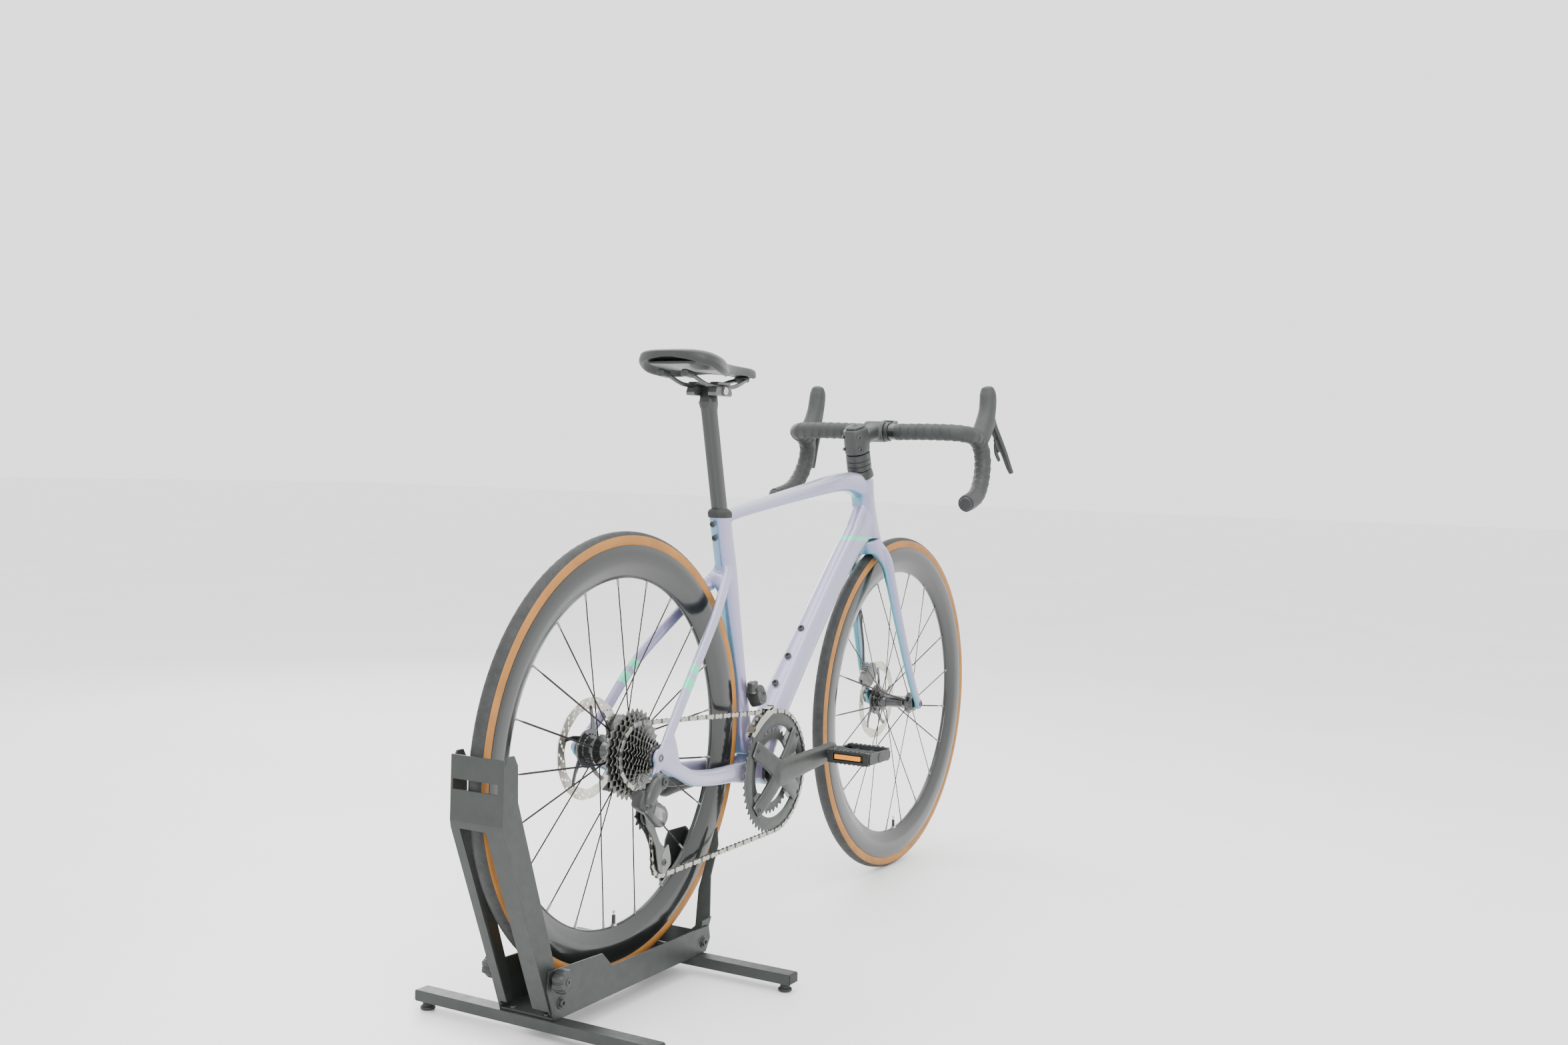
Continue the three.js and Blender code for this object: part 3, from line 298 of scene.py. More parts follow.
def tube_rings(stations, count=28, steps=6, across=(0, 1, 0)):
    """Rings along stations (x, y, z, half width across, half depth, squareness)."""
    rows = curve_through(stations, steps)
    centres = [Vector(row[:3]) for row in rows]
    rings = []
    for i, row in enumerate(rows):
        along = (centres[min(i + 1, len(rows) - 1)] - centres[max(i - 1, 0)]).normalized()
        side = (Vector(across) - along * along.dot(Vector(across))).normalized()
        up = side.cross(along)
        rings.append([centres[i] + side * a + up * b for a, b in rounded(row[3], row[4], row[5], count)])
    return rings


def round_ends(rings, share=0.45, steps=3):
    """Closes a tube with domed ends instead of flat ones."""
    def dome(ring, inner):
        middle = sum(ring, Vector()) / len(ring)
        out = (middle - sum(inner, Vector()) / len(inner)).normalized()
        reach = min((p - middle).length for p in ring) * share
        return [[middle + (p - middle) * math.cos(k / steps * 1.45)
                 + out * reach * math.sin(k / steps * 1.45) for p in ring] for k in range(1, steps + 1)]
    return list(reversed(dome(rings[0], rings[1]))) + rings + dome(rings[-1], rings[-2])


def column_rings(sections, count=28, steps=5, square=2.8):
    """Level rings through sections (z, rear, front, half width)."""
    return [[Vector(((row[1] + row[2]) / 2 + a, b, row[0]))
             for a, b in rounded((row[2] - row[1]) / 2, row[3], square, count)]
            for row in curve_through(sections, steps)]


def mirrored(stations):
    """The same stations on the other side of the middle plane."""
    return [(s[0], -s[1], *s[2:]) for s in stations]


# ----------------------------------------------------------------- materials
GRAIN_DEPTH = 0.0005


class Look:
    """A small helper for node materials in object space."""

    def __init__(self, name):
        self.material = bpy.data.materials.new(name)
        self.material.use_nodes = True
        self.tree = self.material.node_tree
        self.shader = self.tree.nodes["Principled BSDF"]
        self.place = self.node("ShaderNodeTexCoord").outputs["Object"]

    def node(self, kind, **settings):
        node = self.tree.nodes.new(kind)
        for key, value in settings.items():
            setattr(node, key, value)
        return node

    def link(self, source, target):
        self.tree.links.new(source, target)

    def noise(self, scale, detail=4.0, roughness=0.55, stretch=(1, 1, 1)):
        mapping = self.node("ShaderNodeMapping")
        mapping.inputs["Scale"].default_value = stretch
        self.link(self.place, mapping.inputs["Vector"])
        noise = self.node("ShaderNodeTexNoise")
        noise.inputs["Scale"].default_value = scale
        noise.inputs["Detail"].default_value = detail
        noise.inputs["Roughness"].default_value = roughness
        self.link(mapping.outputs["Vector"], noise.inputs["Vector"])
        return noise.outputs["Fac"]

    def ramp(self, factor, stops):
        ramp = self.node("ShaderNodeValToRGB")
        elements = ramp.color_ramp.elements
        while len(elements) < len(stops):
            elements.new(0.5)
        for element, (position, colour) in zip(elements, stops):
            element.position = position
            element.color = (*colour, 1)
        self.link(factor, ramp.inputs["Fac"])
        return ramp.outputs["Color"]

    def level(self, factor, low, high):
        spread = self.node("ShaderNodeMapRange")
        spread.inputs["From Min"].default_value, spread.inputs["From Max"].default_value = 0.3, 0.7
        spread.inputs["To Min"].default_value, spread.inputs["To Max"].default_value = low, high
        self.link(factor, spread.inputs["Value"])
        return spread.outputs["Result"]

    def mix(self, factor, a, b):
        mix = self.node("ShaderNodeMix", data_type="RGBA")
        for socket, value in ((mix.inputs["Factor"], factor), (mix.inputs[6], a), (mix.inputs[7], b)):
            if isinstance(value, (int, float)):
                socket.default_value = value
            elif isinstance(value, tuple):
                socket.default_value = (*value, 1)
            else:
                self.link(value, socket)
        return mix.outputs[2]

    def maths(self, operation, a, b=0.0, c=0.0):
        node = self.node("ShaderNodeMath", operation=operation)
        for socket, value in zip(node.inputs, (a, b, c)):
            if isinstance(value, (int, float)):
                socket.default_value = value
            else:
                self.link(value, socket)
        return node.outputs[0]

    def axis(self, source, index):
        split = self.node("ShaderNodeSeparateXYZ")
        self.link(source, split.inputs[0])
        return split.outputs[index]

    def bump(self, height, strength):
        bump = self.node("ShaderNodeBump")
        bump.inputs["Strength"].default_value = strength
        bump.inputs["Distance"].default_value = GRAIN_DEPTH
        self.link(height, bump.inputs["Height"])
        self.link(bump.outputs["Normal"], self.shader.inputs["Normal"])

    def set(self, **values):
        for key, value in values.items():
            socket = self.shader.inputs[key.replace("_", " ")]
            if isinstance(value, (int, float)):
                socket.default_value = value
            elif isinstance(value, tuple):
                socket.default_value = (*value, 1)
            else:
                self.link(value, socket)


def plain_look(name, colour, rough=(0.4, 0.5), metallic=0.0, spread=0.15, grain=260, relief=0.15, wear=None,
               stretch=(1, 1, 1), **extra):
    """Colour with faint mottling, roughness that varies, and fine grain in the relief."""
    look = Look(name)
    mottle = look.noise(38, 5)
    dark = tuple(c * (1 - spread) for c in colour)
    light = tuple(min(1.0, c * (1 + spread) + 0.004) for c in colour)
    base = look.ramp(mottle, [(0.3, dark), (0.7, light)])
    if wear:
        edges = look.node("ShaderNodeNewGeometry").outputs["Pointiness"]
        mask = look.ramp(edges, [(0.53, (0, 0, 0)), (0.62, (1, 1, 1))])
        base = look.mix(mask, base, wear)
    fine = look.noise(grain, 3, stretch=stretch)
    look.set(Base_Color=base, Metallic=metallic, Roughness=look.level(look.noise(70, 4), *rough))
    look.bump(fine, relief)
    for key, value in extra.items():
        look.shader.inputs[key.replace("_", " ")].default_value = value
    return look.material


# Where the paint counts as the far side, which gets painted shade, and as the fork, in metres and in the
# layout's millimetres.
FAR_SIDE_Y, FORK_BELOW_Z = 0.018, 0.66
FORK_FROM_X = 842
MINT = (0.10, 0.62, 0.40)
BAND_REACH = 0.07


def paint_look(name):
    """Satin pearl paint with painted light and shade: lighter lilac where it faces up, turning to darker aqua
    on faces that turn down, and darker on the far side.
    """
    look = Look(name)
    normal = look.node("ShaderNodeNewGeometry").outputs["Normal"]
    rear, side, up = (look.axis(normal, i) for i in range(3))
    x, y, z = (look.axis(look.place, i) for i in range(3))
    drift = look.noise(5, 2)
    # The pearl's lilac and aqua are its own colours. Which one a face gets is painted light and shade: faces
    # turned up are lighter, and faces turned down or sideways away are darker. The fork is made darker too.
    turn = look.maths("MULTIPLY_ADD", up, 0.34, 0.5)
    turn = look.maths("MULTIPLY_ADD", side, -0.14, turn)
    turn = look.maths("MULTIPLY_ADD", rear, 0.13, turn)
    # Painted shade: paint on the far side of the frame is darker.
    far_side_shade = look.maths("GREATER_THAN", y, ORIGIN.y + FAR_SIDE_Y)
    turn = look.maths("MULTIPLY_ADD", far_side_shade, -0.13, turn)
    past_head = look.maths("GREATER_THAN", x, at(FORK_FROM_X, 0, 0).x)
    in_fork = look.maths("MULTIPLY", past_head, look.maths("LESS_THAN", z, FORK_BELOW_Z))
    turn = look.maths("MULTIPLY_ADD", in_fork, -0.17, turn)
    turn = look.maths("MULTIPLY_ADD", drift, 0.2, look.maths("SUBTRACT", turn, 0.1))
    base = look.ramp(turn, [(0.04, (0.010, 0.20, 0.24)), (0.22, (0.045, 0.25, 0.34)),
                            (0.36, (0.135, 0.20, 0.36)), (0.50, (0.25, 0.215, 0.38)),
                            (0.66, (0.33, 0.30, 0.45)), (1.0, (0.35, 0.39, 0.47))])
    flakes = look.noise(2600, 1)
    base = look.mix(look.maths("MULTIPLY", flakes, 0.16), base, (0.55, 0.58, 0.72))
    for point, along, half in ACCENTS:
        centre = at(*point)
        direction = Vector(along).normalized()
        reach = look.maths("MULTIPLY", look.maths("SUBTRACT", x, centre.x), direction.x)
        reach = look.maths("ADD", reach, look.maths("MULTIPLY", look.maths("SUBTRACT", z, centre.z),
                                                    direction.z))
        inside = look.maths("LESS_THAN", look.maths("ABSOLUTE", reach), half / 1000)
        limits = [look.maths("LESS_THAN", look.maths("ABSOLUTE", look.maths("SUBTRACT", c, m)), BAND_REACH)
                  for c, m in ((x, centre.x), (z, centre.z))]
        mask = look.maths("MULTIPLY", inside, look.maths("MULTIPLY", *limits))
        base = look.mix(mask, base, MINT)
    look.set(Base_Color=base, Metallic=0.38, Roughness=look.level(look.noise(90, 3), 0.27, 0.34),
             Coat_Weight=0.55, Coat_Roughness=0.16)
    look.bump(look.noise(900, 2), 0.03)
    return look.material


# Mint bands: a point in each band, the direction across it in the XZ plane, and its half width.
ACCENTS = [((118, 0, 489), (0.62, 0, 0.78), 8.5), ((99, 0, 468), (0.62, 0, 0.78), 11.0),
           ((748, 0, 683), (0.05, 0, 1.0), 4.0)]


def carbon_look(name, colour=(0.010, 0.011, 0.011), rough=(0.16, 0.24), coat=0.35):
    """Clear-coated carbon with a faint crossed weave under the lacquer."""
    look = Look(name)
    waves = []
    for angle in (0.6, -0.6):
        mapping = look.node("ShaderNodeMapping")
        mapping.inputs["Rotation"].default_value = (0, angle, angle)
        look.link(look.place, mapping.inputs["Vector"])
        wave = look.node("ShaderNodeTexWave", wave_profile="SIN")
        wave.inputs["Scale"].default_value = 260
        wave.inputs["Distortion"].default_value = 1.5
        look.link(mapping.outputs["Vector"], wave.inputs["Vector"])
        waves.append(wave.outputs["Fac"])
    weave = look.maths("MULTIPLY", *waves)
    light = tuple(c * 2.0 for c in colour)
    look.set(Base_Color=look.mix(look.maths("MULTIPLY", weave, 0.8), colour, light),
             Roughness=look.level(look.noise(30, 4), *rough), Coat_Weight=coat, Coat_Roughness=0.05)
    look.bump(look.noise(60, 2), 0.02)
    return look.material


def tread_look(name):
    """Matt black rubber with grain drawn out along the tread."""
    look = Look(name)
    base = look.ramp(look.noise(50, 5), [(0.3, (0.014, 0.015, 0.015)), (0.7, (0.030, 0.031, 0.031))])
    fine = look.noise(700, 4, stretch=(1, 3, 1))
    look.set(Base_Color=base, Roughness=look.level(fine, 0.62, 0.8))
    look.bump(fine, 0.25)
    return look.material


def sidewall_look(name):
    """Tan rubber with the casing's threads crossing on the bias."""
    look = Look(name)
    base = look.ramp(look.noise(24, 5), [(0.25, (0.25, 0.095, 0.010)), (0.75, (0.38, 0.155, 0.020))])
    wave = look.node("ShaderNodeTexWave")
    wave.inputs["Scale"].default_value = 520
    wave.inputs["Distortion"].default_value = 0.6
    look.link(look.place, wave.inputs["Vector"])
    base = look.mix(look.maths("MULTIPLY", wave.outputs["Fac"], 0.22), base, (0.25, 0.12, 0.04))
    look.set(Base_Color=base, Roughness=look.level(look.noise(120, 3), 0.5, 0.66))
    look.bump(wave.outputs["Fac"], 0.12)
    return look.material


PAINT = paint_look("pearl_paint")
POWDER = plain_look("powder_coat", (0.020, 0.024, 0.022), (0.36, 0.48), 0.1, 0.07, 1500, 0.22)
RUBBER = plain_look("black_rubber", (0.014, 0.015, 0.015), (0.6, 0.75), 0, 0.2, 900, 0.3)
PLASTIC = plain_look("moulded_plastic", (0.015, 0.016, 0.017), (0.38, 0.5), 0, 0.15, 700, 0.18)
GLOSS = plain_look("gloss_black", (0.010, 0.011, 0.012), (0.1, 0.18), 0, 0.1, 300, 0.02, Coat_Weight=0.6)
ANODISED = plain_look("black_anodised", (0.020, 0.021, 0.022), (0.3, 0.4), 0.3, 0.12, 900, 0.06,
                      wear=(0.22, 0.22, 0.22))
STEEL = plain_look("steel", (0.56, 0.55, 0.52), (0.22, 0.34), 1.0, 0.1, 700, 0.08)
ROTOR_STEEL = plain_look("rotor_steel", (0.62, 0.60, 0.54), (0.26, 0.4), 1.0, 0.08, 500, 0.12,
                         stretch=(1, 1, 6))
DARK_STEEL = plain_look("sprocket_steel", (0.17, 0.17, 0.16), (0.25, 0.4), 1.0, 0.2, 600, 0.12,
                        wear=(0.55, 0.54, 0.5))
CHAIN_STEEL = plain_look("chain_steel", (0.40, 0.39, 0.36), (0.22, 0.36), 1.0, 0.14, 500, 0.1)
LINK_STEEL = plain_look("link_steel", (0.13, 0.13, 0.125), (0.3, 0.42), 1.0, 0.14, 500, 0.1)
CRANK_GREY = plain_look("anodised_grey", (0.040, 0.044, 0.043), (0.34, 0.44), 0.35, 0.08, 1100, 0.08,
                        wear=(0.4, 0.4, 0.39))
CARBON = carbon_look("gloss_carbon")
SATIN_CARBON = carbon_look("satin_carbon", (0.016, 0.017, 0.018), (0.34, 0.44), 0.15)
TREAD = tread_look("tyre_tread")
SIDEWALL = sidewall_look("tyre_sidewall")
SPOKE_BLACK = plain_look("spoke_black", (0.03, 0.022, 0.022), (0.3, 0.4), 0.8, 0.1, 500, 0.05)
AMBER = plain_look("amber_reflector", (0.85, 0.30, 0.02), (0.12, 0.22), 0, 0.1, 400, 0.35, Coat_Weight=0.8)
STEM = plain_look("stem_satin", (0.026, 0.028, 0.028), (0.4, 0.5), 0.1, 0.1, 1200, 0.12)
TAPE = plain_look("bar_tape", (0.020, 0.021, 0.022), (0.5, 0.62), 0, 0.12, 1400, 0.35)
HOOD = plain_look("hood_rubber", (0.026, 0.028, 0.029), (0.55, 0.66), 0, 0.1, 1600, 0.3)
HOSE = plain_look("hose_skin", (0.02, 0.02, 0.021), (0.32, 0.42), 0, 0.1, 500, 0.1)
COVER = plain_look("saddle_microfibre", (0.011, 0.012, 0.012), (0.48, 0.6), 0, 0.12, 1300, 0.22,
                   Sheen_Weight=0.15)
RAIL = plain_look("rail_metal", (0.10, 0.10, 0.105), (0.25, 0.35), 0.9, 0.1, 700, 0.05)
# The slot that each material usually fills.
SLOTS = {AMBER.name: "black_plastic", ANODISED.name: "black_anodised", CARBON.name: "gloss_carbon",
         CHAIN_STEEL.name: "chain_steel", COVER.name: "saddle_cover", CRANK_GREY.name: "crank_alloy",
         DARK_STEEL.name: "cassette_steel", GLOSS.name: "black_anodised", HOOD.name: "hood_rubber",
         HOSE.name: "hose", PAINT.name: "frame_paint", PLASTIC.name: "black_plastic",
         RAIL.name: "rail_metal", ROTOR_STEEL.name: "rotor_steel", RUBBER.name: "stand_rubber",
         SATIN_CARBON.name: "satin_carbon", SPOKE_BLACK.name: "black_anodised", STEEL.name: "rail_metal",
         STEM.name: "black_anodised", TAPE.name: "bar_tape", TREAD.name: "tyre_rubber"}


# ---------------------------------------------------------- camera and light
CAMERA_PLACE, CAMERA_LENS = (-2003.4, -1398.7, 805.7), 36.617
CAMERA_YAW, CAMERA_PITCH, CAMERA_ROLL = 0.50982, -0.0313, 0.03083
FLOOR_REACH, FLOOR_DROP = 40.0, 0.0005
SKY_COLOUR, SKY_STRENGTH = (0.96, 0.975, 0.96, 1), 2.1
# Name, place, size and power of each soft light, and the height it is aimed at.
LIGHTS = [("overhead", (0.0, 0.0, 3.2), 3.0, 90, 0.4), ("key", (-2.6, -2.4, 2.2), 1.8, 75, 0.5),
          ("rim", (1.8, 2.6, 2.0), 1.6, 55, 0.5)]


def set_camera():
    camera = bpy.data.objects.new("camera", bpy.data.cameras.new("camera"))
    bpy.context.scene.collection.objects.link(camera)
    camera.data.sensor_width = 36
    camera.data.lens = CAMERA_LENS
    level = math.cos(CAMERA_PITCH)
    forward = Vector((level * math.cos(CAMERA_YAW), level * math.sin(CAMERA_YAW), math.sin(CAMERA_PITCH)))
    right = forward.cross(Vector((0, 0, 1))).normalized()
    up = right.cross(forward)
    right = math.cos(CAMERA_ROLL) * right + math.sin(CAMERA_ROLL) * up
    camera.matrix_world = Matrix((right, right.cross(forward), -forward)).transposed().to_4x4()
    camera.location = at(*CAMERA_PLACE)
    bpy.context.scene.camera = camera


def set_studio():
    floor = bpy.data.objects.new("floor", bpy.data.meshes.new("floor"))
    corners = [(a * FLOOR_REACH, b * FLOOR_REACH, 0) for a, b in ((-1, -1), (1, -1), (1, 1), (-1, 1))]
    floor.data.from_pydata(corners, [], [(0, 1, 2, 3)])
    floor.location.z = -FLOOR_DROP
    bpy.context.scene.collection.objects.link(floor)
    look = Look("studio_floor")
    look.set(Base_Color=look.ramp(look.noise(1.5, 3),
                                  [(0.3, (0.86, 0.865, 0.86)), (0.7, (0.9, 0.9, 0.895))]), Roughness=0.42)
    floor.data.materials.append(look.material)
    world = bpy.data.worlds.new("studio")
    world.use_nodes = True
    sky = world.node_tree.nodes["Background"].inputs
    sky["Color"].default_value, sky["Strength"].default_value = SKY_COLOUR, SKY_STRENGTH
    bpy.context.scene.world = world
    for name, place, size, power, aim in LIGHTS:
        light = bpy.data.objects.new(name, bpy.data.lights.new(name, "AREA"))
        light.data.size, light.data.energy = size, power
        light.location = place
        light.rotation_euler = (Vector((0, 0, aim)) - Vector(place)).to_track_quat("-Z", "Y").to_euler()
        bpy.context.scene.collection.objects.link(light)


set_camera()
set_studio()


# --------------------------------------------------------------------- frame
SEAT_TUBE = [(318, 352, 404, 24), (340, 348, 393, 21), (360, 345.5, 384, 18.5), (420, 342.5, 371, 15),
             (480, 328, 358, 14), (560, 304, 341, 14), (640, 281, 324, 14.5), (690, 267, 310, 14.5),
             (730, 256, 299, 14.5)]
TOP_TUBE = [(272, 0, 722, 13.5, 9, 2.8), (340, 0, 737, 16, 10, 2.8), (560, 0, 770, 17, 13, 2.8),
            (720, 0, 791, 19, 18, 2.8), (800, 0, 784, 21, 24, 2.8)]
DOWN_TUBE = [(408, 0, 285, 30, 22, 2.6), (440, 0, 330, 28, 25, 2.6), (480, 0, 381, 25, 25, 2.6),
             (608, 0, 517, 21, 25, 2.6), (740, 0, 648, 20, 27, 2.6), (822, 0, 716, 22, 34, 2.6)]
HEAD_TUBE = [(HEAD_LOW_Z, steer_x(HEAD_LOW_Z) - 28, steer_x(HEAD_LOW_Z) + 29, 27),
             (715, steer_x(715) - 25, steer_x(715) + 28, 23),
             (760, steer_x(760) - 24, steer_x(760) + 27, 21),
             (HEAD_HIGH_Z, steer_x(HEAD_HIGH_Z) - 29, steer_x(HEAD_HIGH_Z) + 29, 24)]
CHAINSTAY = [(0, -75, 365.5, 4, 13, 2.8), (60, -74, 339.5, 5, 12.5, 2.8), (110, -66, 321, 7.5, 13, 2.8),
             (200, -47, 306, 9, 14, 2.8), (285, -33, 298, 8, 16, 2.8), (335, -27.5, 292, 7, 19, 2.8),
             (395, -24, 287, 8, 21, 2.8)]
SEATSTAY = [(6, -75, 374, 4.4, 9.5, 2.4), (58, -66, 424, 6.4, 10.5, 2.4), (125, -57, 495, 6.4, 10.5, 2.4),
            (222, -34, 575, 6.4, 11.5, 2.4), (298, -8, 640, 6, 13, 2.4)]
BLADE = [(steer_x(668) + 3, -16, 664, 13, 19, 2.4), (857, -34, 636, 8.5, 19, 2.4),
         (870, -41, 590, 7, 17, 2.4), (903, -48, 500, 6.5, 14, 2.4), (952, -54, 392, 6, 11, 2.4),
         (984, -56, 341, 5.5, 9, 2.4)]
LEAN = Matrix.Rotation(HEAD_ANGLE - math.pi / 2, 4, "Y")


def on_steerer(z):
    """Places a shape built round Z, height 0 at its foot, on the steering axis."""
    return Matrix.Translation((steer_x(z), 0, z)) @ LEAN


def tilted(sections, count=32, square=2.5):
    """Rings square to the local Z axis through sections (height, reach, half width)."""
    return [[Vector((a, b, row[0])) for a, b in rounded(row[1], row[2], square, count)] for row in sections]


def build_frame():
    """One moulded shell: every tube of the frame, melted together by a fine grid."""
    hull = Shape()
    hull.rings(column_rings(SEAT_TUBE))
    hull.rings(tube_rings(TOP_TUBE))
    hull.rings(tube_rings(DOWN_TUBE))
    hull.rings(column_rings(HEAD_TUBE, square=2.4))
    hull.lathe([(1, -35.5), (24, -35.5), (25, -34), (25, 34), (24, 35.5), (1, 35.5)], *BB, segments=40)
    for stations in (CHAINSTAY, SEATSTAY):
        hull.rings(tube_rings(stations, 24))
        hull.rings(tube_rings(mirrored(stations), 24))
    for side in (-1, 1):
        hull.lathe([(1, side * 71.5), (14.5, side * 71.5), (15, side * 73), (15, side * 77.5),
                    (14, side * 79), (1, side * 79)], *REAR_AXLE, segments=32)
        # The stay meets the dropout in a flat web.
        hull.plate([(4, 366), (52, 338), (60, 352), (44, 396), (20, 396)], side * 73, side * 77.5)
    # Bridge behind the seat tube that the stays grow out of.
    hull.rings(tube_rings([(258, -21, 606, 7, 10, 2.4), (272, -9, 618, 10, 13, 2.4),
                           (276, 0, 621, 11, 14, 2.4), (272, 9, 618, 10, 13, 2.4),
                           (258, 21, 606, 7, 10, 2.4)], 20, across=(1, 0, 0)))
    hull.rings([[around(-3, 361.5, 4.4, a, y) for a in full_turn(12)] for y in (-79, -71.5)])
    hull.tube([(-1, -75, 364, 4, 9, 2.4), (-8, -75.3, 350, 3.8, 8, 2.4), (-13, -75.5, 341, 3.7, 7, 2.4)],
              16)
    # Shoulders that blend the down tube into the head tube and the top tube into its end.
    hull.rings(tube_rings([(750, 0, 674, 14, 10, 2.4), (806, 0, 728, 19, 22, 2.4),
                           (824, 0, 740, 20, 24, 2.4)]))
    for y in (-29, 29):
        hull.rings(tube_rings([(392, y * 0.9, 288, 9, 20, 2.4), (418, y * 0.6, 300, 12, 24, 2.4)], 20))
    tubes = ("seat_tube", "top_tube", "down_tube", "head_tube", "chainstay_right", "chainstay_left",
             "seatstay_right", "seatstay_left")
    hull.build("frame_shell", "bicycle", [PAINT], tuple(f"frame_{tube}" for tube in tubes),
               remesh=2.6, relax=9)


def build_frame_fittings():
    """Seat collar, bottle and clamp bolts, bottom bracket cups and the block under a chainstay."""
    sections = []
    for z, extra in ((727, 0.6), (728.5, 1.2), (736, 1.2), (740, -1.5), (742, -4.5)):
        middle = seat_x(z)
        sections.append([Vector((middle + a, b, z)) for a, b in rounded(22.5 + extra, 15 + extra, 2.8, 40)])
    Shape().rings(sections).build("seat_collar_seal", "bicycle", [RUBBER], bevel=0.4, slot="black_plastic")

    bolts = Shape()
    for x, z in ((576, 519), (529, 472), (485, 427)):
        bolts.bolt((x, 0, z), (-0.72, 0, 0.69), 6.4, 4.0)
    for x, z in ((256, 716), (263.5, 693)):
        bolts.bolt((x - 0.6, 0, z), (-0.97, 0, -0.24), 5.2, 2.6)
    bolts.build("frame_bolts", "bicycle", [ANODISED], bevel=0.2)

    # Dished bottom bracket cups each side of the shell.
    cups = Shape()
    for side in (-1, 1):
        cups.lathe([(13.2, side * 35), (22.5, side * 35), (23.2, side * 37), (22, side * 40.5),
                    (17, side * 41.5), (13.2, side * 41)], *BB, segments=48)
    cups.build("bottom_bracket_cups", "bicycle", [ANODISED], bevel=0.3)

    guard = Shape()
    guard.tube([(186, 49, 289, 10, 7, 3.4), (222, 42, 285, 11, 8, 3.4), (258, 37, 283, 10, 7, 3.4)], 20)
    guard.build("chainstay_block", "bicycle", [PLASTIC], bevel=0.3)


def build_fork():
    """The fork's crown, two blades and dropouts as one shell."""
    hull = Shape()
    crown = [(-27, 24, 27), (-18, 27, 29), (-8, 28.3, 27.5), (-0.6, 28.6, 25)]
    hull.add(Shape().rings(tilted(crown, 36, 2.3)), on_steerer(HEAD_LOW_Z))
    for stations in (BLADE, mirrored(BLADE)):
        hull.rings(tube_rings(stations, 26))
    for side in (-1, 1):
        hull.lathe([(1, side * 50.6), (10.6, side * 50.6), (11.4, side * 52), (11.4, side * 60),
                    (10, side * 61.6), (1, side * 61.6)], *FRONT_AXLE, segments=32)
    hull.build("fork_shell", "steering", [PAINT], ("fork",), remesh=2.2, relax=7)


def build_axles():
    """Hollow thru axles with their heads on the left."""
    for end, body, (x, z), low, high, left_end in (("front", "steering", FRONT_AXLE, -62, 62, 66),
                                                   ("rear", "bicycle", REAR_AXLE, -79, 80, 84)):
        axle = Shape()
        axle.lathe([(4.2, left_end - 1), (7.6, left_end), (9, left_end - 1.6), (9, high + 0.4),
                    (6, high + 0.2), (6, low - 0.5), (5.2, low - 1.2), (3.2, low - 1.2), (3.2, low + 6),
                    (0.2, low + 6), (0.2, left_end - 6), (4.0, left_end - 6)], x, z, 36)
        axle.build(f"{end}_thru_axle", body, [ANODISED], (f"{end}_axle",))


# -------------------------------------------------------------------- wheels
def tyre_profile():
    """Closed [radius, y] outline of the casing with a flatter tread, and a mark for each edge."""
    middle, half = TYRE_R - TYRE_HALF, TYRE_HALF
    points, marks = [], []
    for k in range(33):
        angle = math.radians(-118 + 236 * k / 32)
        r = middle + half * math.cos(angle) * (1.0 if math.cos(angle) > 0 else 0.96)
        points.append((max(r, RIM_EDGE_R - 1.2), half * math.sin(angle)))
        marks.append(0 if abs(-118 + 236 * (k + 0.5) / 32) < 50 else 1)
    points += [(RIM_EDGE_R - 1.2, 10.4), (RIM_EDGE_R - 1.2, -10.4)]
    marks[-1] = 1
    marks += [1, 1]
    return points, marks


TYRE_SEGMENTS = 180
SIPES = 120


def add_sipes(tyre, x, z):
    """Shallow ribs that lean across both shoulders of the tread."""
    reach = TYRE_HALF + 0.02
    for centre in full_turn(SIPES):
        for side in (-1, 1):
            rings = []
            for t in (0.0, 0.5, 1.0):
                lean = math.radians(24 + 16 * t)
                angle = centre + (0.008 if side > 0 else 0) + 0.010 * t
                spot = around(x, z, TYRE_R - TYRE_HALF + reach * math.cos(lean), angle,
                              side * reach * math.sin(lean))
                out = around(0, 0, math.cos(lean), angle, side * math.sin(lean))
                along = Vector((-math.sin(angle), 0, math.cos(angle)))
                rings.append([spot + along * a + out * b
                              for a, b in ((-0.7, -0.5), (0.7, -0.5), (0.5, 0.28), (-0.5, 0.28))])
            tyre.rings(rings)


def build_tyre(end, body, x, z):
    points, marks = tyre_profile()
    tyre = Shape().lathe(points, x, z, TYRE_SEGMENTS, marks)
    # A fine moulded line at each edge of the tread.
    middle = TYRE_R - TYRE_HALF
    for side in (-1, 1):
        a = math.radians(51)
        r, y = middle + TYRE_HALF * math.cos(a), side * TYRE_HALF * math.sin(a)
        tyre.lathe([(r - 0.9, y + side * 0.5), (r + 0.25, y + side * 0.35), (r + 0.7, y - side * 0.6),
                    (r - 0.6, y - side * 0.9)], x, z, TYRE_SEGMENTS)
    add_sipes(tyre, x, z)
    tyre.build(f"{end}_tyre_casing", body, [TREAD, SIDEWALL], (f"{end}_tyre",), smooth_angle=40)


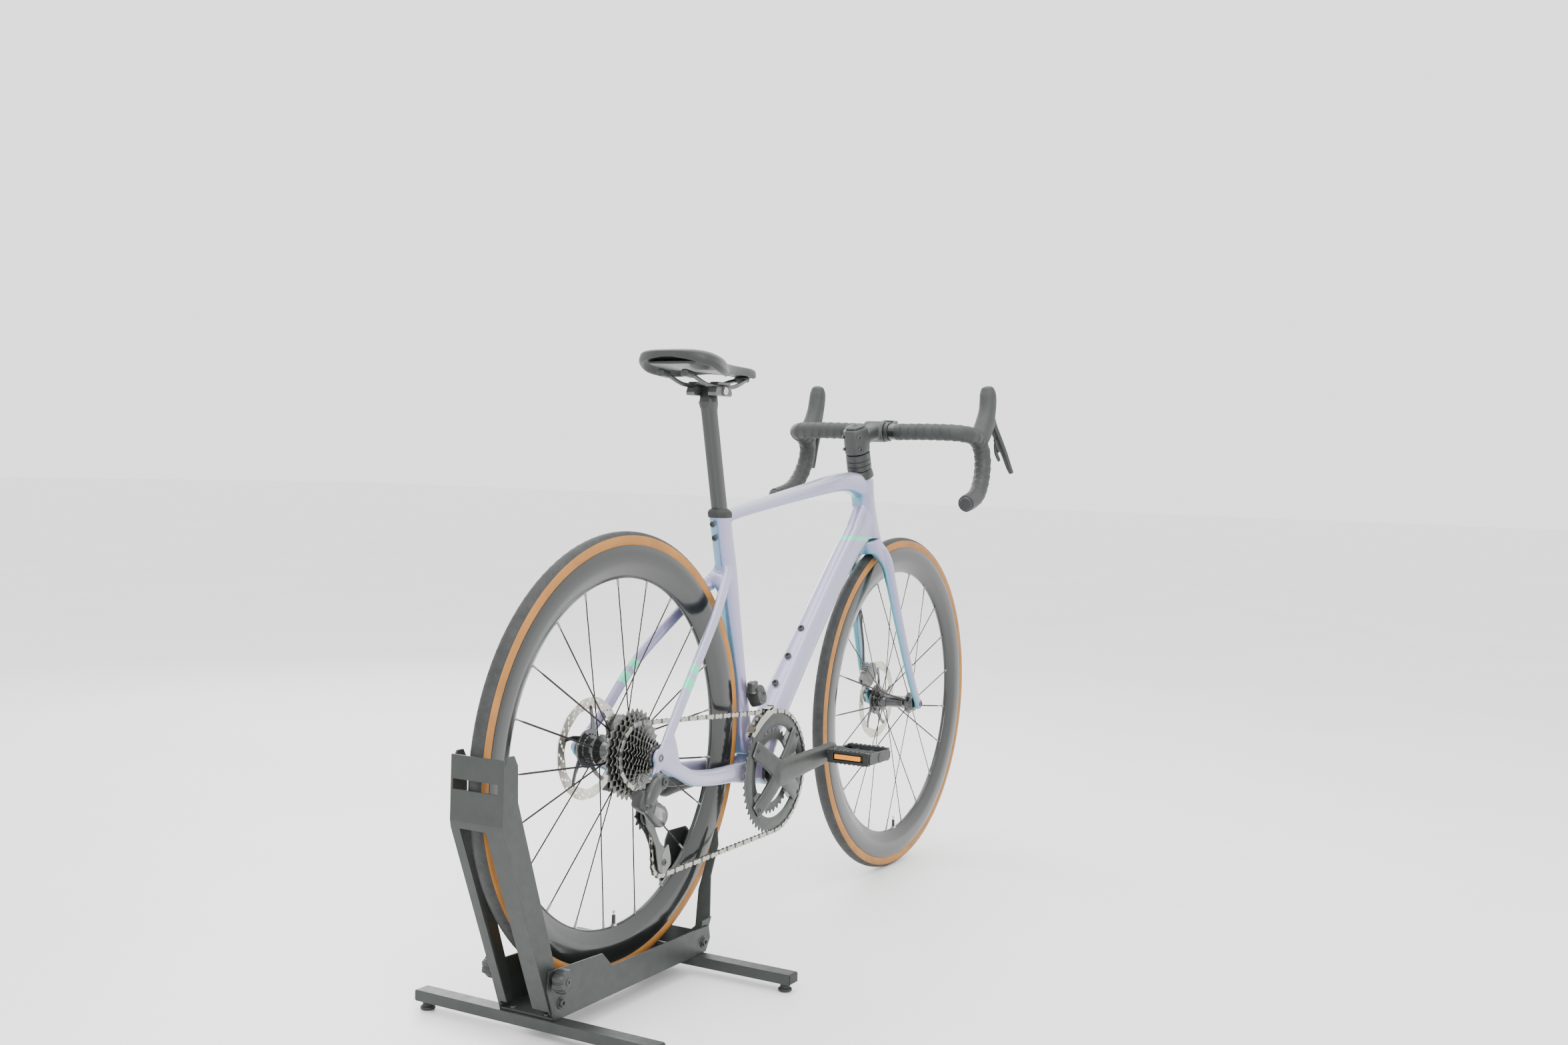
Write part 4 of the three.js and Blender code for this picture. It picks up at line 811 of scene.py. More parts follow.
def build_rim(end, body, x, z):
    """A deep carbon hoop turned from its section."""
    edge, half, bead = RIM_EDGE_R, RIM_HALF, RIM_EDGE_R - RIM_DEPTH
    outline = [(edge + 1.2, -half + 1.2), (edge + 1.6, -half + 0.4), (edge + 0.6, -half),
               (edge - 8, -half - 0.1), (edge - 22, -half - 0.3), (edge - 32, -half + 2.1),
               (edge - 42, -half + 6.2), (bead + 2.2, -4.6), (bead + 0.5, -2.6), (bead, 0),
               (bead + 0.5, 2.6), (bead + 2.2, 4.6), (edge - 42, half - 6.2), (edge - 32, half - 2.1),
               (edge - 22, half + 0.3), (edge - 8, half + 0.1), (edge + 0.6, half),
               (edge + 1.6, half - 0.4), (edge + 1.2, half - 1.2), (edge - 2.5, half - 2.6), (edge - 4, 0),
               (edge - 2.5, -half + 2.6)]
    rim = Shape().lathe(outline, x, z, 200)
    rim.build(f"{end}_rim_hoop", body, [CARBON], (f"{end}_rim",), smooth_angle=50)


def build_hub(end, body, x, z, hub):
    """Hub shell, flattened spokes with their nipples, and the valve."""
    shell = Shape()
    right, left, rf, lf, radius, tip = (hub[key]
                                        for key in ("right", "left", "right_flange", "left_flange",
                                                    "flange", "end"))
    bore = 6.5
    shell.lathe([(bore, right), (tip - 2, right), (tip, right + 1.5), (tip, rf - 5), (radius - 3, rf - 3),
                 (radius, rf - 1.6), (radius, rf + 1.6), (radius - 3, rf + 3), (15, rf + 8),
                 (12.2, rf + 14), (12.2, lf - 14), (14, lf - 8), (radius - 3, lf - 3), (radius, lf - 1.6),
                 (radius, lf + 1.6), (radius - 3, lf + 3), (tip + 1, lf + 5), (tip, lf + 6),
                 (tip, left - 1.5), (tip - 2, left), (bore, left)], x, z, 56)
    # Splined ring that carries the rotor, and an end cap each side.
    ring = hub["rotor"]
    shell.lathe([(tip - 1, ring - 5), (21, ring - 5), (22, ring - 3.5), (22, ring + 3.5), (20, ring + 5),
                 (tip - 1, ring + 5)], x, z, 48)
    for a in full_turn(20):
        tooth = turned([(20, -1.5), (23.4, -1.0), (23.4, 1.0), (20, 1.5)], a)
        shell.plate([(x + dx, z + dz) for dx, dz in tooth], ring - 4.4, ring + 4.4)
    shell.build(f"{end}_hub_shell", body, [GLOSS], (f"{end}_hub_and_spokes",), bevel=0.3)

    spokes, nipples = Shape(), Shape()
    bead = RIM_EDGE_R - RIM_DEPTH
    for i in range(SPOKES):
        loaded = i % 3 != 0
        flange = rf if loaded == hub["right_loaded"] else lf
        reach = (i + 0.5) / SPOKES * TURN + math.radians(hub["turn"])
        lead = (0.55 if i % 3 == 1 else -0.55) if loaded else 0
        start = around(x, z, radius - 3.5, reach + lead, flange)
        end_point = around(x, z, bead + 1.5, reach, math.copysign(1.2, flange))
        along = (end_point - start).normalized()
        side = Vector((0, 1, 0)).cross(along).normalized()
        across = along.cross(side)
        length = (end_point - start).length
        rows = [(0, 1.05, 1.05), (14, 1.0, 1.0), (26, 0.62, 1.55), (length - 34, 0.62, 1.55),
                (length - 22, 1.0, 1.0), (length, 1.0, 1.0)]
        spokes.rings([[start + along * d + across * (a * math.cos(t)) + side * (b * math.sin(t))
                       for t in full_turn(10)] for d, a, b in rows])
        nipples.rod(end_point - along * 13, end_point + along * 2, 1.7, 8, 2.1)
        spokes.rod(start - across * 3.2, start + across * 3.2, 2.0, 10)
    spokes.build(f"{end}_spokes", body, [SPOKE_BLACK], smooth_angle=60)
    nipples.build(f"{end}_nipples", body, [ANODISED], smooth_angle=50)

    # Valve: a dark stem with its bright core and nut.
    angle = math.radians(hub["valve"])
    out = Vector((math.cos(angle), 0, math.sin(angle)))
    foot = Vector((x, 0, z)) + out * (bead + 2)
    valve = Shape()
    for start, stop, r, sides, mark in ((0, 18, 3.0, 16, 1), (1, 5, 5.2, 6, 0), (18, 25, 1.5, 12, 0),
                                        (21, 24.5, 2.4, 12, 0)):
        valve.rod(foot - out * start, foot - out * stop, r, sides, mark=mark)
    valve.build(f"{end}_valve", body, [STEEL, PLASTIC], bevel=0.15)


def build_rotor(end, body, x, z, hub):
    """Slotted steel ring on a dark five-armed spider."""
    y, half = hub["rotor"], 0.9
    ring = Shape()
    sections = []
    for a in full_turn(240):
        r1 = 80.0 - 1.0 * (0.5 + 0.5 * math.cos(a * 12))
        r0 = 61.5 + 1.5 * (0.5 + 0.5 * math.cos(a * 12 + 0.6))
        corners = ((r0, y - half), (r1, y - half), (r1, y + half), (r0, y + half))
        sections.append([around(x, z, r, a, side) for r, side in corners])
    ring.rings(sections, closed=True)
    piece = ring.build(f"{end}_rotor_ring", body, [ROTOR_STEEL], (f"{end}_brake_rotor",), bevel=0.15)
    holes = Shape()
    for base in full_turn(24):
        for row, (r, length) in enumerate(((76.0, 5.6), (71.0, 6.4), (66.0, 5.2))):
            a = base + row * 0.085
            centre = around(x, z, r, a, y)
            along = Vector((-math.sin(a + 0.5), 0, math.cos(a + 0.5)))
            out = Vector((along.z, 0, -along.x))
            loop = [centre + along * (length * 0.5 * math.cos(t)) + out * (1.75 * math.sin(t))
                    for t in full_turn(12)]
            holes.rings([[p + Vector((0, dy, 0)) for p in loop] for dy in (-3, 3)])
    tool = bpy.data.objects.new(f"{end}_rotor_slots", holes.mesh(f"{end}_rotor_slots"))
    bpy.context.scene.collection.objects.link(tool)
    slots = piece.modifiers.new("slots", "BOOLEAN")
    slots.operation, slots.object, slots.solver = "DIFFERENCE", tool, "EXACT"
    bpy.context.view_layer.update()
    done = bpy.data.meshes.new_from_object(piece.evaluated_get(bpy.context.evaluated_depsgraph_get()))
    piece.modifiers.clear()
    piece.data = done
    bpy.data.objects.remove(tool)
    done.set_sharp_from_angle(angle=math.radians(30))

    arms = Shape()
    for start in full_turn(5):
        a = start + 0.2
        loops = []
        for r, lead, wide in ((21, -0.30, 7.0), (34, -0.16, 4.6), (48, -0.04, 3.6), (58, 0.05, 3.4),
                              (65.5, 0.10, 4.4)):
            t = a + lead
            out = Vector((-math.sin(t), 0, math.cos(t)))
            loops.append([around(x, z, r, t, y) + out * w + Vector((0, dy, 0))
                          for w, dy in ((-wide, -1.15), (wide, -1.15), (wide, 1.15), (-wide, 1.15))])
        arms.rings(loops)
        t = a + 0.10
        arms.rod(around(x, z, 63.8, t, y - 1.7), around(x, z, 63.8, t, y + 1.7), 3.2, 18)
    arms.lathe([(16.6, y - 2.2), (30, y - 2.2), (31, y - 1.2), (31, y + 1.2), (30, y + 2.2),
                (16.6, y + 2.2)], x, z, 60)
    arms.lathe([(16.8, y + 2), (20.5, y + 2), (21.5, y + 3.2), (21, y + 6), (17.5, y + 7), (16.8, y + 6.5)],
               x, z, 48)
    arms.build(f"{end}_rotor_spider", body, [GLOSS], bevel=0.35)


def build_wheels():
    """Both wheels from what differs between their hubs, in millimetres and degrees."""
    rear = dict(right=-22.5, left=70, right_flange=-16, left_flange=33, flange=24, end=16, rotor=REAR_ROTOR_Y,
                right_loaded=True, turn=-0.9, valve=-90)
    front = dict(right=-49, left=49, right_flange=-36, left_flange=24, flange=22, end=16, rotor=FRONT_ROTOR_Y,
                 right_loaded=False, turn=0, valve=-86)
    for end, (x, z), hub in (("rear", REAR_AXLE, rear), ("front", FRONT_AXLE, front)):
        body = f"{end}_wheel"
        build_tyre(end, body, x, z)
        build_rim(end, body, x, z)
        build_hub(end, body, x, z, hub)
        build_rotor(end, body, x, z, hub)


# ---------------------------------------------------------------- drivetrain
def toothed(teeth, inner, y0, y1, phase=0.0, root_drop=3.9, rise=2.2, chamfer=0.35):
    """A ring with chain teeth, its first gap at the phase angle, flat between y0 and y1."""
    root, tip = pitch_radius(teeth) - root_drop, pitch_radius(teeth) + rise
    steps = ((0, root), (0.15, root + 0.5), (0.28, root + 2.6), (0.40, tip - 0.9), (0.47, tip), (0.53, tip),
             (0.60, tip - 0.9), (0.72, root + 2.6), (0.85, root + 0.5))
    loop = [(phase + TURN * (k + share) / teeth, r) for k in range(teeth) for share, r in steps]
    rings = []
    for y, shrink in ((y0, chamfer), (y0 + chamfer, 0), (y1 - chamfer, 0), (y1, chamfer)):
        rings.append([around(0, 0, r - shrink, a, y) for a, r in loop])
    for y in (y1, y0):
        rings.append([around(0, 0, inner, a, y) for a, r in loop])
    return Shape().rings(rings, closed=True)


def chain_wheels():
    """Each wheel the chain runs on: x, z, y, pitch radius, and which way it bends the chain."""
    small, driven = pitch_radius(PULLEY_TEETH), pitch_radius(SPROCKETS[ENGAGED])
    return [(*BB, RING_Y, pitch_radius(OUTER_TEETH), -1), (*TENSION, CHAIN_Y, small, -1),
            (*GUIDE, CHAIN_Y, small, 1), (*REAR_AXLE, CHAIN_Y, driven, -1)]


def chain_path():
    """Points (position, direction angle, span) along the chain, and where each span ends."""
    wheels = chain_wheels()
    headings = []
    for i, (x, z, _, r, turn) in enumerate(wheels):
        x1, z1, _, r1, turn1 = wheels[(i + 1) % 4]
        reach = math.hypot(x1 - x, z1 - z)
        headings.append(math.atan2(z1 - z, x1 - x) - math.asin((turn1 * r1 - turn * r) / reach))
    points = []
    for i, (x, z, y, r, turn) in enumerate(wheels):
        start = headings[i - 1]
        sweep = turn * (((headings[i] - start) * turn) % TURN)
        steps = max(6, int(abs(sweep) * r / 1.5))
        for k in range(steps + 1):
            angle = start + sweep * k / steps
            points.append((Vector((x + turn * r * math.sin(angle), y, z - turn * r * math.cos(angle))),
                           angle, i))
    return points


def chain_spots():
    """Pin positions one pitch apart round the whole chain, with the span each is in."""
    points = chain_path()
    lengths = [0.0]
    for i in range(len(points)):
        lengths.append(lengths[-1] + (points[(i + 1) % len(points)][0] - points[i][0]).length)
    total = lengths[-1]
    count = 2 * round(total / PITCH / 2)
    spots, i = [], 0
    for k in range(count):
        want = total * k / count
        while lengths[i + 1] < want:
            i += 1
        share = (want - lengths[i]) / max(lengths[i + 1] - lengths[i], 1e-9)
        a, b = points[i], points[(i + 1) % len(points)]
        spots.append((a[0].lerp(b[0], share), a[2], 0 if a[2] == b[2] else 1))
    return spots


def link_plates(length, height, waist, y0, y1):
    """The waisted side plate of a link that lies along X from its middle."""
    loop = []
    for side in (1, -1):
        for k in range(7):
            t = math.radians(-90 + 30 * k) if side > 0 else math.radians(90 + 30 * k)
            loop.append((side * length / 2 + height * math.cos(t), height * math.sin(t)))
        loop.append((0, side * waist))
    return Shape().plate(loop, y0, y1)


CHAIN_SPOTS = chain_spots()


def gap_phase(x, z, span):
    """Angle of a pin near the middle of the chain's wrap round a wheel."""
    pins = [p for p, where, straight in CHAIN_SPOTS if where == span and not straight]
    pin = pins[len(pins) // 2]
    return math.atan2(pin.z - z, pin.x - x)


def build_chain():
    """Links round all four wheels, in three pieces by what each one follows."""
    groups = {"chain_upper": Shape(), "chain_lower_run": Shape(), "chain_in_cage": Shape()}
    count = len(CHAIN_SPOTS)
    for k in range(count):
        here, span, straight = CHAIN_SPOTS[k]
        there = CHAIN_SPOTS[(k + 1) % count][0]
        middle, along = (here + there) / 2, (there - here)
        turn = math.atan2(along.z, along.x)
        matrix = (Matrix.Translation(middle) @ Matrix.Rotation(-turn, 4, "Y")
                  @ Matrix.Rotation(math.atan2(along.y, math.hypot(along.x, along.z)), 4, "Z"))
        link = Shape()
        outer = k % 2 == 0
        for side in (-1, 1):
            a, b = (1.95, 2.75) if outer else (1.15, 1.9)
            link.add(link_plates(along.length, 4.1 if outer else 4.0, 2.7, *sorted((side * a, side * b))),
                     mark=0 if outer else 1)
        pin = Matrix.Translation((-along.length / 2, 0, 0))
        link.add(Shape().rod((0, -1.1, 0), (0, 1.1, 0), 3.6, 14), pin, 1)
        link.add(Shape().rod((0, -3.05, 0), (0, 3.05, 0), 1.75, 12), pin)
        if span == 0 and straight:
            name = "chain_lower_run"
        elif (span == 1) or (span == 2 and not straight and here.z < GUIDE[1] - 2):
            name = "chain_in_cage"
        else:
            name = "chain_upper"
        groups[name].add(link, matrix)
    upper = groups["chain_upper"].build("chain_upper", "bicycle", [CHAIN_STEEL, LINK_STEEL], ("chain",),
                                        smooth_angle=40, bevel=0.18)
    upper.data.shade_smooth()
    upper.data.set_sharp_from_angle(angle=math.radians(40))
    groups["chain_in_cage"].build("chain_in_cage", "derailleur_cage", [CHAIN_STEEL, LINK_STEEL],
                                  smooth_angle=40)
    run = groups["chain_lower_run"].build("chain_lower_run", None, [CHAIN_STEEL, LINK_STEEL],
                                          smooth_angle=40)
    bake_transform(run)


def build_cassette():
    """Twelve sprockets, the larger ones on arms, and the splined freewheel body."""
    sprockets = Shape()
    phase = gap_phase(*REAR_AXLE, 3)
    place = Matrix.Translation((REAR_AXLE[0], 0, REAR_AXLE[1]))
    for index, teeth in enumerate(SPROCKETS):
        y = sprocket_y(index)
        turn = phase if index == ENGAGED else 0.17 * index
        inner = 17.5 if teeth < 19 else pitch_radius(teeth) - 17
        sprockets.add(toothed(teeth, inner, y - 0.8, y + 0.8, turn, rise=1.6), place)
        if teeth >= 19:
            for k in range(5):
                a = TURN * k / 5 + 0.3 + index * 0.05
                arm = turned([(16, -4.5), (inner + 2, -3.2), (inner + 2, 3.2), (16, 4.5)], a)
                sprockets.add(Shape().plate(arm, y - 0.7, y + 0.7), place)
    sprockets.build("sprockets", "freewheel", [DARK_STEEL], ("cassette",), bevel=0.15)
    body = Shape()
    body.lathe([(7, -71), (12, -71.5), (15.5, -71), (17.2, -70), (17.2, -68.6), (15.6, -68), (15.6, -67.3),
                (17.4, -67.3), (17.4, -24.5), (7, -24.5)], *REAR_AXLE, segments=56)
    for a in full_turn(12):
        spline = turned([(15, -1.4), (17.9, -1.1), (17.9, 1.1), (15, 1.4)], a)
        body.add(Shape().plate(spline, -71.2, -68.4), place)
    body.build("cassette_body", "freewheel", [ANODISED], bevel=0.2, slot="cassette_steel")


def crank_frame():
    """Places a shape built round the origin on the turned cranks."""
    return Matrix.Translation((BB[0], 0, BB[1])) @ Matrix.Rotation(-CRANK_ANGLE, 4, "Y")


def turned_about_y(angle):
    return Matrix.Rotation(-angle, 4, "Y")


ARM = [(-19, -59.5, 0, 9, 17, 2.6), (0, -59.8, 0, 9.6, 22, 2.6), (40, -61, 0, 9.2, 21.5, 2.8),
       (90, -63.6, 0, 8.4, 19.5, 2.8), (140, -66, 0, 8, 17.5, 2.8), (CRANK_LENGTH, -67, 0, 8, 17.5, 2.6),
       (CRANK_LENGTH + 15, -67, 0, 7, 12.5, 2.4)]


SPIDER_DEGREES = (38, 142, 218, 322)


def build_cranks():
    """Crank arms with their spider, the chainrings and both pedals."""
    frame_now = crank_frame()
    hull = Shape()
    hull.tube(ARM, 30, 0.3)
    hull.lathe([(1, -66), (21, -66), (23.5, -64.5), (24.5, -61), (24.5, -52), (22, -49), (1, -49)],
               segments=48)
    for degrees in SPIDER_DEGREES:
        arm = Shape().rings(tube_rings([(6, -58, 0, 6.4, 18, 3), (34, -57, 0, 5.8, 17, 3),
                                        (60, -54.5, 0, 5, 16, 3), (80, -52, 0, 3.6, 15.5, 3.2),
                                        (91, -50.8, 0, 2.2, 14.5, 3.2)], 24))
        hull.add(arm, turned_about_y(math.radians(degrees)))
    Shape().add(hull, frame_now).build("crank_arm_right", "crankset", [CRANK_GREY], ("crank_right",),
                                       remesh=1.9, relax=5)
    left_hull = Shape().tube([(-s[0], -s[1], *s[2:]) for s in ARM], 30, 0.3)
    left_hull.lathe([(1, 50), (19, 50), (20.5, 52), (20.5, 66), (19, 68), (1, 68)], segments=44)
    Shape().add(left_hull, frame_now).build("crank_arm_left", "crankset", [CRANK_GREY], ("crank_left",),
                                            remesh=1.9, relax=5)

    fittings = Shape()
    place = Matrix.Translation((BB[0], 0, BB[1]))
    fittings.lathe([(0.2, -63), (5, -63), (6, -65.4), (10.5, -66.6), (11.5, -66.2), (11.5, -63),
                    (0.2, -62)], *BB, segments=40)
    fittings.lathe([(0.2, 63), (0.2, 67), (5, 67.4), (9.5, 69.2), (10.5, 68.8), (10.5, 63)], *BB,
                   segments=40)
    fittings.lathe([(0.2, -50), (12, -50), (12, 58), (0.2, 58)], *BB, segments=32)
    for degrees in SPIDER_DEGREES:
        fittings.bolt(around(*BB, 84, math.radians(degrees) + CRANK_ANGLE, -53.6), (0, -1, 0), 4.4, 2.4)
    for y in (55, 62.5):
        fittings.add(Shape().bolt((-2, y, -19.6), (0, 0, -1), 3.2, 3.0), frame_now)
    fittings.build("crank_fittings", "crankset", [ANODISED], bevel=0.15)

    rings = Shape()
    phase = gap_phase(*BB, 0)
    rings.add(toothed(OUTER_TEETH, 86, RING_Y - 0.95, RING_Y + 0.95, phase), place)
    rings.lathe([(80, RING_Y - 1.4), (86, RING_Y - 2.2), (97, RING_Y - 1.5), (98.4, RING_Y - 0.8),
                 (98.4, RING_Y + 0.8), (97, RING_Y + 1.6), (84, RING_Y + 2.4), (80, RING_Y + 1.6)], *BB,
                segments=120)
    y = RING_Y + 7
    rings.add(toothed(INNER_TEETH, 60, y - 0.95, y + 0.95, 0.1), place)
    rings.lathe([(56, y - 1.2), (66, y - 1.8), (67.5, y - 0.8), (67.5, y + 0.8), (66, y + 1.6),
                 (56, y + 1.4)], *BB, segments=90)
    for degrees in SPIDER_DEGREES:
        lug = turned([(57, -11), (84, -13), (84, 13), (57, 11)], math.radians(degrees) + CRANK_ANGLE)
        rings.add(Shape().plate(lug, RING_Y - 1.4, y + 0.8), place)
    rings.build("chainring_pair", "crankset", [CRANK_GREY], ("chainrings",), bevel=0.18)

    for hand, sign in (("right", -1), ("left", 1)):
        build_pedal(hand, sign, frame_now @ Vector((-sign * CRANK_LENGTH, 0, 0)))


def build_pedal(hand, sign, centre):
    """A resin platform pedal with toothed rails, ribs, a spindle and amber reflectors."""
    body, reflectors, spindle = Shape(), Shape(), Shape()
    near, far = 80, 168
    for end in (-1, 1):
        x = end * 39
        for z0, z1 in ((6.5, 11.5), (-11.5, -6.5)):
            body.plate([(x - 5, z0), (x + 5, z0), (x + 5, z1), (x - 5, z1)], near + 3, far - 3)
        body.plate([(x - end * 5, -7), (x - end * 2, -7), (x - end * 2, 7), (x - end * 5, 7)], near + 3,
                   far - 3)
        for y in range(near + 8, far - 8, 9):
            for top in (-1, 1):
                tooth = [(x + dx, top * z) for dx, z in ((-4.4, 11), (4.4, 11), (2.6, 13.2), (-2.6, 13.2))]
                body.plate(tooth, y, y + 4.2)
        for y0, y1 in ((near + 3, near + 14), (far - 14, far - 3)):
            body.plate([(x - 5, -7), (x + 5, -7), (x + 5, 7), (x - 5, 7)], y0, y1)
        reflectors.plate([(x - end * 1.5, -4.2), (x + end * 4.6, -4.2), (x + end * 4.6, 4.2),
                          (x - end * 1.5, 4.2)], near + 17, far - 20)
    for y in (near, far - 6):
        body.plate([(-36, -9.5), (36, -9.5), (42, -5.5), (42, 5.5), (36, 9.5), (-36, 9.5), (-42, 5.5),
                    (-42, -5.5)], y, y + 6)
    for y in (near + 28, near + 58):
        body.plate([(-36, -6.5), (36, -6.5), (36, 6.5), (-36, 6.5)], y, y + 3.5)
    body.lathe([(6, near - 1), (11.5, near), (12, near + 6), (9.6, near + 16), (8.8, far - 20),
                (9.6, far - 8), (10, far + 0.5), (8.5, far + 1.6), (0.2, far + 1.6), (0.2, far - 20),
                (6, far - 20)], segments=36)
    spindle.lathe([(0.2, 61), (5, 61), (5, 74.5), (8.4, 75), (8.4, 78.6), (6.4, 79), (5.6, 84), (0.2, 84)],
                  segments=28)
    place = Matrix.Translation(centre) @ Matrix.Scale(sign, 4, (0, 1, 0))
    name = f"pedal_body_{hand}"
    Shape().add(body, place).build(f"pedal_frame_{hand}", name, [PLASTIC], (f"pedal_{hand}",), bevel=0.7)
    Shape().add(reflectors, place).build(f"pedal_reflectors_{hand}", name, [AMBER], bevel=0.6)
    Shape().add(spindle, place).build(f"pedal_spindle_{hand}", name, [STEEL], bevel=0.2)


def cage_outline(grow_guide, grow_tension, waist):
    """Side plate round both derailleur pulleys with a narrower waist."""
    g, t = Vector(GUIDE), Vector(TENSION)
    along = (t - g).normalized()
    side = Vector((-along.y, along.x))
    loop = []
    for k in range(9):
        a = math.pi / 2 + math.pi * k / 8
        loop.append(g + (along * math.cos(a) + side * math.sin(a)) * grow_guide)
    loop.append(g.lerp(t, 0.38) - side * waist)
    loop.append(g.lerp(t, 0.62) - side * waist)
    for k in range(9):
        a = -math.pi / 2 + math.pi * k / 8
        loop.append(t + (along * math.cos(a) + side * math.sin(a)) * grow_tension)
    loop.append(g.lerp(t, 0.62) + side * waist)
    loop.append(g.lerp(t, 0.38) + side * waist)
    return [(p.x, p.y) for p in loop]


def build_rear_derailleur():
    """Mount, motor, link, cage plates and both pulleys."""
    gx, gz = GUIDE
    base = Shape()
    base.lathe([(0.2, -95), (6.5, -95), (8.5, -96), (11.5, -95), (12.5, -92.5), (12.5, -82), (11, -79.6),
                (0.2, -79.6)], -14, 337.5, 40)
    base.tube([(-10, -87, 340, 6.5, 11, 2.6), (-26, -88, 331, 7.5, 13, 2.6), (-40, -88, 318, 8, 12, 2.6),
               (-46, -86, 306, 7.5, 9, 2.6)], 26)
    base.build("derailleur_mount", "bicycle", [CRANK_GREY], ("rear_derailleur_base",), bevel=0.3)
    motor = Shape()
    motor.tube([(-58, -78, 317, 10, 13, 4), (-46, -79, 311, 11, 15, 4), (-30, -79, 303, 11, 15, 4),
                (-22, -78, 299, 10, 12, 4)], 32, 0.25)
    motor.tube([(-52, -79, 327, 8, 3, 3), (-38, -79, 320, 8, 3, 3)], 20, 0.4)
    motor.build("derailleur_motor", "bicycle", [PLASTIC], bevel=0.4)

    link = Shape()
    link.tube([(-48, -86, 304, 6, 9, 3), (-32, -84, 297, 8, 14, 3), (-12, -78, 288, 9, 17, 3),
               (8, -71, 279, 9.5, 17, 3), (20, -66, 274, 10, 15, 3)], 30, 0.35)
    link.lathe([(0.2, -74), (9, -74), (13.5, -72.5), (16.8, -69), (17.6, -62), (17.2, -52), (15.5, -49),
                (0.2, -49)], gx, gz, 48)
    link.build("derailleur_link", "bicycle", [CRANK_GREY], ("rear_derailleur_link",), bevel=0.3)
    inset = Shape()
    inset.tube([(-33, -90.4, 298.5, 3, 7, 3.2), (-12, -85.6, 289, 3, 9, 3.2), (6, -79.2, 281, 3, 8.5, 3.2)],
               26, 0.3)
    inset.build("derailleur_window", "bicycle", [GLOSS], bevel=0.2, slot="gloss_carbon")
    screws = Shape()
    for spot, r in (((-14, -95.4, 337.5), 5.4), ((gx, -73.6, gz), 5.6), ((-46, -92.6, 306), 3.0),
                    ((9, -80, 268), 2.6)):
        screws.bolt(spot, (0, -1, 0), r, 2.2)
    screws.build("derailleur_screws", "bicycle", [ANODISED], bevel=0.1)

    half = 4.5
    plates = Shape()
    outer = CHAIN_Y - half
    plates.plate(cage_outline(13, 17, 6.5), outer - 2.6, outer - 0.4)
    # Stiffening web towards the front of the outer plate.
    tx, tz = TENSION
    plates.plate([(tx - 6, tz + 14), (tx + 11, tz + 26), (tx + 18, tz + 6), (tx + 19, tz - 6),
                  (tx + 4, tz - 18), (tx - 4, tz - 17)], outer - 3.2, outer - 0.8)
    plates.lathe([(4.4, outer - 4), (15.5, outer - 4), (16.6, outer - 2.6), (16.6, outer - 0.4),
                  (4.4, outer - 0.4)], gx, gz, 44)
    plates.build("cage_outer_plate", "derailleur_cage", [CRANK_GREY], ("rear_derailleur_cage",), bevel=0.5)
    inner = Shape()
    inner.plate(cage_outline(13.5, 15, 5.5), CHAIN_Y + half + 0.3, CHAIN_Y + half + 2.3)
    for x, z in (GUIDE, TENSION):
        inner.rod((x, outer - 3.4, z), (x, CHAIN_Y + half + 2.6, z), 3.9, 20)
        inner.bolt((x, CHAIN_Y + half + 2.3, z), (0, 1, 0), 5.2, 1.6)
    inner.bolt((tx, outer - 3.0, tz), (0, -1, 0), 5.4, 1.8)
    inner.build("cage_inner_plate", "derailleur_cage", [ANODISED], bevel=0.35)
    for name, body, (x, z), span in (("guide", "guide_wheel", GUIDE, 2),
                                     ("tension", "tension_wheel", TENSION, 1)):
        wheel = Shape()
        place = Matrix.Translation((x, CHAIN_Y, z))
        wheel.add(toothed(PULLEY_TEETH, 10, -1.15, 1.15, gap_phase(x, z, span), rise=2.6), place)
        wheel.lathe([(4.3, CHAIN_Y - 3), (8, CHAIN_Y - 3), (8.6, CHAIN_Y - 2.2), (12.5, CHAIN_Y - 1.3),
                     (12.5, CHAIN_Y + 1.3), (8.6, CHAIN_Y + 2.2), (8, CHAIN_Y + 3), (4.3, CHAIN_Y + 3)], x,
                    z, 40)
        wheel.build(f"{name}_pulley_wheel", body, [PLASTIC], (f"{name}_pulley",), bevel=0.2)


